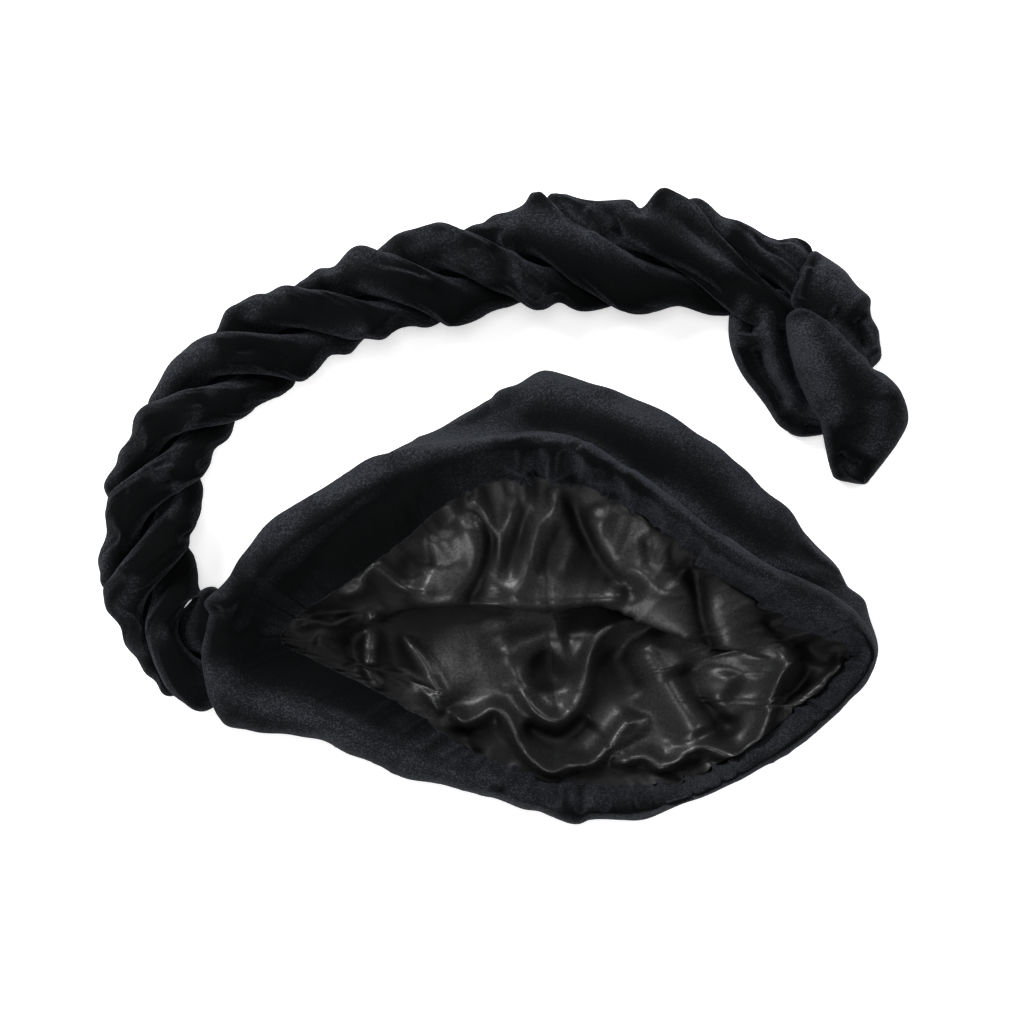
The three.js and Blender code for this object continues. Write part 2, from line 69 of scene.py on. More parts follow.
def curveThrough(values, place, closed=False):
    # cubic through the values, read at places that may fall between them: the slope at each
    # value is half the step between its neighbours
    values = np.asarray(values, float)
    count = len(values)
    place = np.asarray(place, float)
    start = np.floor(place).astype(int)
    if not closed:
        start = np.clip(start, 0, count - 2)

    def pick(i):
        return values[np.mod(i, count)] if closed else values[np.clip(i, 0, count - 1)]

    t = (place - start).reshape(place.shape + (1,) * (values.ndim - 1))
    a, b, c, d = pick(start - 1), pick(start), pick(start + 1), pick(start + 2)
    return 0.5 * (2 * b + (c - a) * t + (2 * a - 5 * b + 4 * c - d) * t ** 2
                  + (3 * b - a - 3 * c + d) * t ** 3)


def readRows(rows, column, place, closed=False):
    # one column of a table as a smooth curve, read at places counted in rows
    return curveThrough([row[column] for row in rows], place, closed)


def smoothStep(value):
    # 3v² - 2v³ of the value cut to 0..1, level at both ends
    value = np.clip(value, 0, 1)
    return value * value * (3 - 2 * value)


def ramp(high, low, reach):
    # 0 where high is at or below low, rising evenly to 1 where it is the reach above it
    return np.clip((high - low) / reach, 0, 1)


def bell(value, middle, reach):
    # 1 at the middle, 1/e where the value is the reach away from it
    return np.exp(-((value - middle) / reach) ** 2)


def softNoise(points, size, seed):
    # value noise: random numbers on a lattice of the given cell size, blended with smooth steps;
    # the strides scatter the cells over the list of random numbers
    settings = {"count": 4096, "shift": 100.0, "strides": np.array([73, 179, 283])}
    values = np.random.default_rng(seed).uniform(-1, 1, settings["count"])
    scaled = points / size + settings["shift"]
    cell = np.floor(scaled).astype(int)
    part = smoothStep(scaled - cell)
    total = np.zeros(points.shape[:-1])
    for corner in range(8):
        step = np.array([corner & 1, (corner >> 1) & 1, (corner >> 2) & 1])
        key = ((cell + step) * settings["strides"]).sum(axis=-1) % settings["count"]
        weight = np.prod(np.where(step == 1, part, 1 - part), axis=-1)
        total += weight * values[key]
    return total


def slackNoise(points, layers):
    # sum of soft noises, each given by its cell size and its height in millimetres and its seed
    return sum(softNoise(points, size, seed) * height for size, height, seed in layers)


def toPhoto(points):
    # plan place of each point as photo pixels, seen from straight above
    px = photo["mouthX"] + points[..., 0] / photo["mmPerPixel"]
    py = photo["mouthY"] - points[..., 1] / photo["mmPerPixel"]
    return px, py


def foldHeight(points, rows, crestShare=0.6):
    # each fold runs through its pixel points: a narrow crest on a broad swell, two bells of the
    # distance from that line, "lee" times as wide on one side, growing to "spread" times as wide
    # at its last point and fading within the share "fade" of both ends; "crest" is the narrow
    # bell's part of the height
    settings = {"steps": 5, "window": 5.0, "swell": 2.6, "fade": 0.15}
    px, py = toPhoto(points)
    total = np.zeros(px.shape)
    for row in rows:
        knots = np.array(row["through"], float)
        last = len(knots) - 1
        line = curveThrough(knots, np.linspace(0, last, last * settings["steps"] + 1))
        lee, spread = row.get("lee", 1.0), row.get("spread", 1.0)
        widest = row["wide"] * max(lee, 1.0) * max(spread, 1.0) * settings["window"]
        low, high = line.min(axis=0) - widest, line.max(axis=0) + widest
        near = (px > low[0]) & (px < high[0]) & (py > low[1]) & (py < high[1])
        x, y = px[near], py[near]
        legs = line[1:] - line[:-1]
        lengths = np.maximum(np.hypot(legs[:, 0], legs[:, 1]), 1e-6)
        before = np.concatenate([[0], np.cumsum(lengths)])
        best = np.full(x.shape, 1e9)
        side = np.zeros(x.shape)
        share = np.zeros(x.shape)
        for i, leg in enumerate(legs):
            dx, dy = x - line[i, 0], y - line[i, 1]
            t = np.clip((dx * leg[0] + dy * leg[1]) / lengths[i] ** 2, 0, 1)
            away = np.hypot(dx - t * leg[0], dy - t * leg[1])
            closer = away < best
            best = np.where(closer, away, best)
            side = np.where(closer, np.sign(leg[0] * dy - leg[1] * dx), side)
            share = np.where(closer, (before[i] + t * lengths[i]) / before[-1], share)
        wide = np.where(side > 0, row["wide"], row["wide"] * lee) * (1 + (spread - 1) * share)
        ends = smoothStep(np.minimum(share, 1 - share) / row.get("fade", settings["fade"]))
        crest = row.get("crest", crestShare)
        profile = crest * bell(best / wide, 0, 1) + (1 - crest) * bell(best / wide, 0, settings["swell"])
        total[near] += row["high"] * profile * ends
    return total


def pullCloth(points, rows):
    # moves the cloth near each pixel by so many pixels right and down, times a bell of the
    # distance in plan, exp(-(distance / reach)²)
    px, py = toPhoto(points)
    moved = points.copy()
    for row in rows:
        away = (px - row["x"]) ** 2 + (py - row["y"]) ** 2
        weight = np.exp(-away / row["reach"] ** 2)
        moved[..., 0] += weight * row["right"] * photo["mmPerPixel"]
        moved[..., 1] -= weight * row["down"] * photo["mmPerPixel"]
    return moved


# Making meshes

def gridNormals(grid):
    # unit normals of a grid (along, round, 3) that is closed round: the cross product of the
    # steps between neighbours round the ring and along the grid
    around = np.roll(grid, -1, axis=1) - np.roll(grid, 1, axis=1)
    normal = np.cross(around, np.gradient(grid, axis=0))
    return normal / np.maximum(np.linalg.norm(normal, axis=-1, keepdims=True), 1e-9)


def smoothGrid(grid):
    # each point moves half way to the mean of its neighbours round its ring, then along
    ringed = grid * 0.5 + (np.roll(grid, 1, axis=1) + np.roll(grid, -1, axis=1)) * 0.25
    even = ringed.copy()
    even[1:-1] = ringed[1:-1] * 0.5 + (ringed[:-2] + ringed[2:]) * 0.25
    return even


def ringFaces(rings, count, firstVertex):
    # four-sided faces between rings of equal count
    ring = np.arange(rings - 1)[:, None] * count
    j = np.arange(count)[None, :]
    k = (j + 1) % count
    quads = np.stack([ring + j, ring + k, ring + count + k, ring + count + j], axis=-1)
    return quads.reshape(-1, 4) + firstVertex


def makeClosed(name, grid, material, paintedLight):
    # closed skin from a grid of rings, with a fan to the middle of the first and the last ring
    rings, count = grid.shape[:2]
    ends = np.stack([grid[0].mean(axis=0), grid[-1].mean(axis=0)])
    vertices = np.concatenate([grid.reshape(-1, 3), ends])
    quads = ringFaces(rings, count, 0)
    j = np.arange(count)
    k = (j + 1) % count
    last = (rings - 1) * count
    firstFan = np.stack([k, j, np.full(count, rings * count)], axis=-1)
    lastFan = np.stack([last + j, last + k, np.full(count, rings * count + 1)], axis=-1)
    faces = quads.tolist() + firstFan.tolist() + lastFan.tolist()
    signed = signedVolume(vertices, quads)
    if signed < 0:
        faces = [face[::-1] for face in faces]
    # the painted light of the two fan middles is the mean of their rings
    paintedLight = np.concatenate([paintedLight.ravel(), paintedLight[0].mean(keepdims=True), paintedLight[-1].mean(keepdims=True)])
    return finishMesh(name, vertices, faces, material, clothMap(grid), paintedLight)


def signedVolume(vertices, quads):
    # six times the volume between the faces and the origin, each face as two triangles:
    # positive if the faces look outwards
    a, b, c, d = (vertices[quads[:, i]] for i in range(4))
    first = np.einsum("ij,ij->i", a, np.cross(b, c)).sum()
    second = np.einsum("ij,ij->i", a, np.cross(c, d)).sum()
    return first + second


def finishMesh(name, vertices, faces, material, uv, paintedLight):
    # a smooth mesh in the frame's metres, with its cloth map, its painted light and its slot
    place = vertices * 0.001 + np.array([capOffset[0], capOffset[1], 0.0])
    mesh = bpy.data.meshes.new(name)
    mesh.from_pydata(place.tolist(), [], faces)
    mesh.update()
    mesh.polygons.foreach_set("use_smooth", np.ones(len(mesh.polygons), bool))
    addFibreMap(mesh, uv)
    mesh.attributes.new("paintedLight", "FLOAT", "POINT").data.foreach_set("value", paintedLight)
    piece = bpy.data.objects.new(name, mesh)
    bpy.context.scene.collection.objects.link(piece)
    mesh.materials.append(material)
    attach(piece, "root")
    return piece


def addFibreMap(mesh, uv):
    # stores where each vertex lies on its cloth, in metres, as a map that the patterns follow
    layer = mesh.uv_layers.new(name="cloth")
    corners = np.empty(len(mesh.loops), int)
    mesh.loops.foreach_get("vertex_index", corners)
    layer.data.foreach_set("uv", uv[corners].ravel())


# Camera

def makeCamera():
    # looks straight down; lens = sensor width * distance / width of the picture at that height
    settings = {"distance": 1.7, "sensor": 36.0, "height": 0.02}
    wide = photo["middle"] * 2 * photo["mmPerPixel"] * 0.001
    data = bpy.data.cameras.new("camera")
    data.sensor_width = settings["sensor"]
    data.lens = settings["sensor"] * settings["distance"] / wide
    camera = bpy.data.objects.new("camera", data)
    bpy.context.scene.collection.objects.link(camera)
    x = (photo["middle"] - photo["mouthX"]) * photo["mmPerPixel"] * 0.001 + capOffset[0]
    y = (photo["mouthY"] - photo["middle"]) * photo["mmPerPixel"] * 0.001 + capOffset[1]
    camera.location = (x, y, settings["height"] + settings["distance"])
    bpy.context.scene.camera = camera


# Cap

cap = {
    "width": 267.0,
    "depth": 155.0,
    "height": 62.0,
    "crownSwell": 28.0,
    "hemRoll": 9.0,
    "facingDrop": 13.0,
    "frontTuck": 9.0,
    "rearTuck": 24.0,
    "wall": 1.6,
    "seamGap": 0.3,
    "scallops": 110,
    "scallopDepth": 0.06,
    "round": 720,
}

# hem and sewn line as shares of half the width and depth, as in the solid model
mouthRows = table("hemX hemY sewnX sewnY rise swell", [
    (1.0, -0.11, 0.93, -0.13, 0.5, 0.05),
    (0.87, 0.17, 0.75, 0.03, 0.66, 0.3),
    (0.6, 0.39, 0.53, 0.26, 0.82, 0.86),
    (0.36, 0.7, 0.32, 0.55, 0.94, 0.93),
    (0.1, 0.97, 0.08, 0.74, 1.0, 0.92),
    (-0.2, 0.98, -0.18, 0.72, 1.0, 0.36),
    (-0.49, 0.87, -0.39, 0.46, 0.94, 0.0),
    (-0.76, 0.62, -0.57, 0.23, 0.8, 0.0),
    (-0.93, 0.29, -0.72, 0.06, 0.64, 0.0),
    (-1.0, -0.14, -0.77, -0.07, 0.54, 0.0),
    (-0.93, -0.49, -0.67, -0.17, 0.47, 0.0),
    (-0.63, -0.61, -0.42, -0.39, 0.44, 0.0),
    (-0.28, -0.81, -0.18, -0.66, 0.42, 0.0),
    (0.08, -1.0, 0.08, -0.8, 0.41, 0.0),
    (0.46, -0.9, 0.44, -0.78, 0.42, 0.0),
    (0.85, -0.52, 0.77, -0.42, 0.46, 0.0),
])


def gatherWave(turn, count, seed):
    # uneven gathers round the mouth: a ridge wherever a noise on a circle crosses nought, with
    # about the given number of cells round it, at a strength that wanders
    circle = np.stack([np.cos(2 * np.pi * turn), np.sin(2 * np.pi * turn), 0 * turn], axis=-1)
    cells = circle * count / (2 * np.pi)
    settings = {"narrow": 2.2, "power": 1.5, "mean": 0.3, "patch": 3.0, "low": 0.05, "high": 1.3}
    ridge = np.clip(1 - np.abs(softNoise(cells, 1.0, seed)) * settings["narrow"], 0, 1)
    strength = 0.65 + 0.6 * softNoise(cells, settings["patch"], seed + 1)
    wander = np.clip(strength, settings["low"], settings["high"])
    return (ridge ** settings["power"] - settings["mean"]) * wander


def velvetControls(turn):
    # control points of the velvet for each place round the mouth, from the sewn edge of the
    # facing over the rolled hem, down the outside and under to the table, as an array
    # (control, turn, 3); where the crown swells it leaves the hem in a valley and rolls over
    place = turn * len(mouthRows)
    half = np.array([cap["width"], cap["depth"]]) / 2

    def flat(columnX, columnY, shift=0.0):
        x = readRows(mouthRows, columnX, place + shift, True)
        y = readRows(mouthRows, columnY, place + shift, True)
        return np.stack([x, y], axis=-1) * half

    hem, sewn = flat("hemX", "hemY"), flat("sewnX", "sewnY")
    scallop = gatherWave(turn, cap["scallops"], 8) * np.clip((sewn[:, 0] + 70) / 30, 0.2, 1)
    sewn = sewn * (1 - cap["scallopDepth"] * scallop[:, None])
    ahead = flat("hemX", "hemY", 0.25) - flat("hemX", "hemY", -0.25)
    ahead /= np.linalg.norm(ahead, axis=-1, keepdims=True)
    out = np.stack([ahead[:, 1], -ahead[:, 0]], axis=-1)
    top = readRows(mouthRows, "rise", place, True) * cap["height"]
    full = np.maximum(readRows(mouthRows, "swell", place, True), 0)
    swell = full * cap["crownSwell"]
    tuck = cap["frontTuck"] + (cap["rearTuck"] - cap["frontTuck"]) * full
    roll, drop = cap["hemRoll"], cap["facingDrop"]

    def point(share, outward, z):
        spot = sewn * (1 - share) + hem * share + out * np.broadcast_to(outward, top.shape)[:, None]
        return np.concatenate([spot, np.broadcast_to(z, top.shape)[:, None]], axis=-1)

    def level(crown, plain):
        return top * (crown * full + plain * (1 - full))

    return np.stack([
        point(0.0, 0.0, top - drop),  # sewn edge
        point(0.42, 0.0, top - drop * 0.32),
        point(0.7, 0.0, top),  # top of the hem
        point(0.89, 0.0, top - roll * 0.22),
        point(1.0, 0.0, top - roll * 0.75),  # outside of the hem's roll
        point(1.0, swell * 0.02 - roll * 0.08, top - roll * (1.1 + 0.2 * full)),  # valley below it
        point(1.0, swell * 0.52, level(0.75, 0.5)),
        point(1.0, swell * 0.88, level(0.62, 0.4)),
        point(1.0, swell, level(0.42, 0.28)),  # widest place of the crown
        point(1.0, swell - tuck * 0.35, top * 0.15),
        point(1.0, swell - tuck, 0.0),  # rim of the underside, on the table
    ])


def shellMiddle():
    # middle of the cap's footprint box in its own millimetres, to place it on the frame's box
    settings = {"round": 256, "along": 81}
    controls = velvetControls(np.arange(settings["round"]) / settings["round"])
    grid = curveThrough(controls, np.linspace(0, len(controls) - 1, settings["along"]))
    low, high = grid.min(axis=(0, 1)), grid.max(axis=(0, 1))
    return (low + high) / 2


middle = shellMiddle()
capOffset = [(shellLow[i] + shellHigh[i]) / 2 - middle[i] * 0.001 for i in range(2)]
makeCamera()
print("camera made")


# Painted sheen: where the pile is painted paler, seen from above as rows of photo pixels
paintedSheenRows = [
    fold([(212, 650), (232, 690), (300, 714), (370, 745), (440, 772), (505, 790)], 0.55, 14, fade=0.1),
    fold([(500, 790), (535, 800), (566, 810)], 0.4, 9),
    fold([(262, 560), (300, 520), (345, 490), (400, 465), (450, 450), (505, 440)], 0.4, 8, fade=0.1),
    fold([(238, 574), (262, 536), (300, 505), (350, 478), (400, 452)], 0.4, 10),
    fold([(520, 439), (580, 441), (630, 471)], 0.35, 5),
    fold([(640, 480), (700, 520), (760, 568), (820, 615), (866, 642)], 0.42, 13),
    fold([(820, 612), (858, 636)], 0.3, 12, fade=0.4),
    fold([(600, 455), (680, 500), (740, 548)], 0.3, 3),
    fold([(495, 404), (545, 386), (600, 398), (660, 424), (720, 462), (796, 540)], 0.6, 15, fade=0.15),
    fold([(760, 560), (810, 574), (846, 588)], 0.5, 3),
    fold([(798, 538), (826, 562)], 0.4, 3),
    fold([(571, 786), (573, 812)], 0.5, 3, fade=0.5),
    fold([(590, 786), (592, 814)], 0.5, 3, fade=0.5),
    fold([(560, 440), (572, 462), (574, 484)], 0.3, 5),
    fold([(150, 415), (162, 378), (190, 354), (222, 344)], 0.5, 11),
    fold([(205, 396), (225, 380), (244, 386)], 0.3, 5),
    fold([(250, 325), (258, 302), (290, 292)], 0.35, 9),
    fold([(322, 284), (342, 262), (372, 254), (404, 256)], 0.45, 10),
    fold([(296, 334), (330, 336), (372, 330)], 0.4, 8),
    fold([(404, 256), (430, 238), (466, 240)], 0.35, 9),
    fold([(438, 264), (474, 262), (490, 288)], 0.35, 11),
    fold([(352, 282), (390, 300), (420, 318), (446, 324)], 0.4, 6),
    fold([(108, 490), (118, 456), (140, 434)], 0.3, 8),
    fold([(140, 466), (160, 478), (175, 455), (190, 428), (206, 404)], 0.4, 4),
    fold([(176, 480), (178, 500), (167, 520)], 0.45, 4),
    fold([(103, 585), (101, 560), (108, 530)], 0.3, 8),
    fold([(112, 610), (130, 596), (138, 572)], 0.3, 6),
    fold([(140, 660), (150, 640), (172, 630)], 0.3, 8),
    fold([(488, 229), (520, 217), (560, 227), (610, 244), (656, 260)], 0.55, 11),
    fold([(505, 240), (514, 262), (522, 286), (548, 298)], 0.45, 5),
    fold([(550, 212), (565, 205), (574, 214), (592, 226)], 0.4, 5),
    fold([(592, 205), (606, 220), (613, 240)], 0.35, 5),
    fold([(600, 203), (650, 215), (700, 245), (742, 276)], 0.4, 8),
    fold([(662, 196), (700, 210), (734, 234)], 0.5, 10),
    fold([(700, 235), (712, 250), (720, 260)], 0.3, 4),
    fold([(746, 234), (775, 262), (804, 286)], 0.5, 3),
    fold([(762, 234), (790, 258), (808, 272)], 0.45, 3),
    fold([(786, 240), (808, 256)], 0.45, 6),
    fold([(812, 264), (842, 278), (866, 300)], 1.0, 16),
    fold([(866, 316), (880, 350)], 0.7, 5),
    fold([(748, 292), (737, 320), (739, 350)], 0.5, 6),
    fold([(760, 300), (768, 340), (780, 380), (802, 416)], 0.6, 6),
    fold([(796, 310), (805, 350), (824, 398), (842, 428)], 0.8, 15),
    fold([(822, 322), (860, 358), (898, 396)], 0.6, 10),
    fold([(878, 396), (880, 430), (868, 458)], 0.35, 14),
    fold([(845, 460), (860, 476)], 0.5, 4, fade=0.5),
]


def paintedPileSheen(grid):
    # strength of the painted sheen on the pile where the cloth looks up, from the bells of the rows
    # above
    upward = np.clip(upright(grid)[..., 2] * 3, 0, 1)
    return upward * np.clip(foldHeight(grid, paintedSheenRows, 0.9), 0, 1)


# Folds of the velvet seen from above
facingFolds = [
    fold([(214, 616), (222, 602), (240, 606)], 4.5, 8, fade=0.3),
    fold([(200, 640), (232, 634), (262, 642)], -2.0, 8, fade=0.3, lee=1.8),
    fold([(205, 662), (240, 688), (300, 703), (360, 733), (440, 760), (500, 778)], 1.6, 8, fade=0.2),
    fold([(250, 585), (290, 540), (340, 505), (400, 470)], 1.5, 8),
    fold([(276, 590), (320, 545), (370, 505), (430, 478)], -2.2, 10, lee=1.6),
    fold([(420, 452), (460, 447), (505, 440)], 1.0, 6),
    fold([(520, 436), (522, 455), (516, 476)], 1.6, 6),
    fold([(534, 440), (536, 458), (532, 478)], -1.6, 5),
    fold([(549, 440), (550, 458), (556, 482)], 1.6, 6),
    fold([(566, 446), (572, 462), (572, 484)], -2.4, 5),
    fold([(578, 446), (590, 468), (592, 486)], 1.8, 6),
    fold([(606, 462), (612, 480), (610, 500)], -1.4, 5),
    fold([(622, 470), (630, 492), (630, 512)], 1.3, 6),
    fold([(660, 500), (664, 518), (660, 530)], 1.2, 6),
    fold([(700, 532), (740, 560), (790, 596), (846, 640)], 1.6, 12),
    fold([(560, 778), (564, 796), (560, 812)], 1.2, 3, fade=0.4),
    fold([(568, 778), (573, 797), (568, 816)], 1.8, 3, fade=0.4),
    fold([(579, 778), (581, 798), (578, 818)], -1.6, 3.5, fade=0.4),
    fold([(588, 778), (593, 800), (583, 819)], 2.0, 3, fade=0.4),
    fold([(600, 780), (603, 800), (600, 818)], -1.0, 3, fade=0.4),
    fold([(609, 780), (613, 800), (610, 818)], 1.2, 3, fade=0.4),
    fold([(628, 780), (632, 800), (640, 814)], 1.6, 3, fade=0.4),
    fold([(645, 782), (652, 798), (662, 810)], 1.4, 3, fade=0.4),
    fold([(536, 780), (538, 796), (534, 806)], 1.0, 3, fade=0.4),
    fold([(690, 776), (712, 790)], 1.2, 4, fade=0.3),
]
crownFolds = [
    fold([(756, 556), (785, 570), (815, 578), (850, 586)], 3.0, 4, lee=2.2),
    fold([(796, 540), (815, 560), (838, 580)], 1.6, 3.5),
    fold([(548, 372), (540, 395), (522, 422)], 2.6, 14, fade=0.4),
    fold([(497, 402), (460, 422), (410, 444)], 1.5, 6),
    fold([(590, 410), (660, 440), (730, 500)], 1.6, 14, fade=0.4),
]


def makeShell():
    # the skin of velvetControls, moved along its normals by pleats, gathers, folds and slack, then
    # pulled, and an inner wall one wall's thickness inside it; row counts the control points, 0 at
    # the sewn edge, 3 and 4 on the roll, 10 at the rim of the underside, whose rings then shrink
    settings = {
        "pleats": 60,
        "pleatHeight": 1.4,
        "pleatReach": 1.6,
        "gathers": 150,
        "gatherHeight": 0.9,
        "gatherReach": 0.7,
        "rollWrinkle": 0.5,
        "rollMiddle": 4.4,
        "rollReach": 1.2,
        "slack": [(26.0, 1.3, 21), (11.0, 0.6, 22)],
        "lastRow": 10,
    }
    turn = np.arange(cap["round"]) / cap["round"]
    controls = velvetControls(turn)
    place = np.concatenate([
        np.linspace(0, 1, 14, endpoint=False),
        np.linspace(1, 4, 28, endpoint=False),
        np.linspace(4, 7, 20, endpoint=False),
        np.linspace(7, settings["lastRow"], 16),
    ])
    face = curveThrough(controls, place)
    shares = np.linspace(0, 1, 10)[1:-1, None, None]
    grid = np.concatenate([face, face[-1:] * (1 - shares)])
    row = np.concatenate([place, np.full(len(shares), float(settings["lastRow"]))])[:, None]
    normal = -gridNormals(grid)
    outside = ramp(row, 4.8, 0.5) * ramp(9.5, row, 1.5)
    pleats = gatherWave(turn, settings["pleats"], 3) * bell(row, 0, settings["pleatReach"])
    gathers = gatherWave(turn, settings["gathers"], 9) * bell(row, 0, settings["gatherReach"])
    rolled = gatherWave(turn, settings["gathers"], 14)
    rolled = rolled * bell(row, settings["rollMiddle"], settings["rollReach"])
    # gathers are weak at the left corner; at the low front the facing's folds run on down the roll
    gathered = np.clip((grid[:1, :, 0] + 70) / 30, 0.12, 1)
    low = ramp(-grid[:1, :, 1], 18, 30)
    facing = ramp(4.8 + 1.7 * low, row, 0.6 + 1.9 * low)
    relief = gathered * (settings["pleatHeight"] * pleats + settings["gatherHeight"] * gathers)
    relief = relief + settings["rollWrinkle"] * rolled * (0.15 + 0.85 * low)
    relief = relief + facing * foldHeight(grid, facingFolds)
    relief = relief + outside * foldHeight(grid, crownFolds)
    slack = slackNoise(grid, settings["slack"])
    relief = relief + slack * ramp(row, 0, 1.5) * ramp(settings["lastRow"], row, 2.5)
    outer = grid + normal * relief[..., None]
    outer[..., 2] = np.maximum(outer[..., 2], 0)
    outer = pullCloth(outer, capPulls)
    inner = (outer + gridNormals(outer) * cap["wall"])[::-1][::2]
    inner[..., 2] = np.maximum(inner[..., 2], cap["wall"])
    whole = np.concatenate([inner, outer])
    # the velvet's painted sheen comes from the sheen rows
    piece = makeClosed("cap_velvet", whole, velvet, paintedPileSheen(whole))
    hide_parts("cap_shell")


capPulls = table("x y right down reach", [
    (545, 372, 0, -6, 18), (500, 392, -5, -5, 14), (625, 392, -1, 9, 40), (590, 378, 0, 4, 18),
    (722, 448, 3, -4, 24), (786, 512, 5, -6, 26), (302, 502, 2, 6, 48), (345, 478, 1, 3, 26),
    (385, 775, 0, 5, 22), (290, 738, 0, -4, 28), (500, 805, 0, -4, 30), (225, 722, -2, 4, 14),
    (866, 690, 5, 3, 16), (575, 820, 0, 4, 12), (440, 430, 0, 4, 28), (256, 545, 4, 3, 20),
    (750, 468, 3, -4, 18), (850, 572, -2, 4, 12), (864, 600, 4, -3, 14), (828, 558, 1, 0, 16),
    (874, 665, 6, 0, 22), (240, 580, 6, 4, 18), (408, 779, 0, 7, 24), (330, 742, 0, -4, 18),
    (540, 816, 0, -4, 12), (640, 816, 0, 4, 24),
])


def clothMap(grid):
    # distance along and round each ring in metres, so a rib keeps its width on the cloth
    along = np.linalg.norm(np.diff(grid, axis=0), axis=-1).mean(axis=1)
    v = np.concatenate([[0], np.cumsum(along)])[:, None] * 0.001
    around = np.linalg.norm(np.roll(grid, -1, axis=1) - grid, axis=-1)
    reach = np.median(around.sum(axis=1)) * 0.001
    u = np.arange(grid.shape[1])[None] / grid.shape[1] * reach
    flat = np.stack(np.broadcast_arrays(u, v), axis=-1).reshape(-1, 2)
    return np.concatenate([flat, [[0, v[0, 0]], [0, v[-1, 0]]]])


# Lining

satinRows = table("lipIn lipRise turnIn turnRise", [
    (0.22, 0.62, 0.34, 0.34),
    (0.34, 0.56, 0.3, 0.3),
    (0.42, 0.52, 0.3, 0.27),
    (0.49, 0.5, 0.3, 0.25),
    (0.6, 0.48, 0.4, 0.22),
    (0.59, 0.48, 0.39, 0.22),
    (0.43, 0.52, 0.28, 0.27),
    (0.26, 0.55, 0.28, 0.3),
    (0.19, 0.58, 0.3, 0.34),
    (0.17, 0.6, 0.34, 0.36),
    (0.22, 0.6, 0.36, 0.36),
    (0.22, 0.55, 0.36, 0.34),
    (0.2, 0.52, 0.36, 0.32),
    (0.2, 0.52, 0.36, 0.32),
    (0.2, 0.52, 0.36, 0.32),
    (0.2, 0.56, 0.34, 0.34),
])

# Folds of the slack satin: the part that hangs from the rear of the mouth, and the part below
hangingFolds = [
    fold([(374, 608), (370, 640), (369, 674), (388, 694)], 6.5, 7, crest=0.9),
    fold([(352, 626), (350, 650), (356, 670)], -3.0, 7),
    fold([(388, 620), (392, 650), (400, 690)], -3.0, 6),
    fold([(312, 640), (336, 652), (352, 668)], 2.6, 6),
    fold([(404, 588), (424, 600), (452, 598), (475, 568), (480, 532), (468, 506)], 7.0, 7, fade=0.15,
         lee=3.4, crest=0.4),
    fold([(398, 562), (420, 560), (446, 566), (470, 556)], -1.6, 6),
    fold([(420, 538), (440, 530), (464, 530)], -1.2, 4),
    fold([(472, 502), (490, 530), (490, 556), (478, 584), (462, 606)], -5.0, 5),
    fold([(468, 496), (486, 516), (497, 538)], 3.2, 3.5),
    fold([(512, 494), (512, 512), (502, 534), (494, 560), (484, 598)], 3.6, 4, lee=1.5, spread=1.8),
    fold([(528, 500), (520, 535), (506, 584)], -2.6, 4, spread=1.8),
    fold([(552, 486), (554, 504), (541, 522), (530, 552), (518, 582), (500, 606)], 5.0, 5, lee=1.8,
         spread=1.7),
    fold([(562, 520), (552, 545), (538, 580)], -2.6, 6, spread=1.5),
    fold([(578, 528), (570, 552), (556, 576)], 2.4, 7, fade=0.4),
    fold([(564, 486), (574, 512), (588, 538), (604, 564), (624, 586), (646, 598)], -6.0, 6),
    fold([(590, 504), (597, 538), (612, 566), (636, 571), (654, 588), (676, 593), (692, 576)], 6.0, 5,
         fade=0.12, lee=3.2, crest=0.45),
    fold([(640, 534), (648, 552), (646, 570)], -2.2, 4),
    fold([(612, 576), (650, 606), (700, 646)], 3.0, 13, crest=0.3),
    fold([(688, 556), (697, 592), (704, 628), (718, 656)], -6.0, 5),
    fold([(706, 566), (711, 610), (728, 650), (760, 670), (794, 660), (806, 642)], 5.0, 8, fade=0.2,
         lee=3.4, crest=0.2),
    fold([(334, 596), (360, 590), (366, 576), (376, 566), (390, 576), (404, 587), (440, 592)], 3.6, 4,
         lee=1.5),
    fold([(304, 612), (340, 611), (358, 613), (378, 606), (396, 596)], -3.0, 4),
    fold([(290, 628), (318, 622), (334, 625), (352, 616), (384, 604), (392, 594)], 3.4, 4),
    fold([(470, 612), (504, 606), (560, 602), (600, 599), (632, 595)], 4.5, 5, fade=0.12, lee=2.0),
]
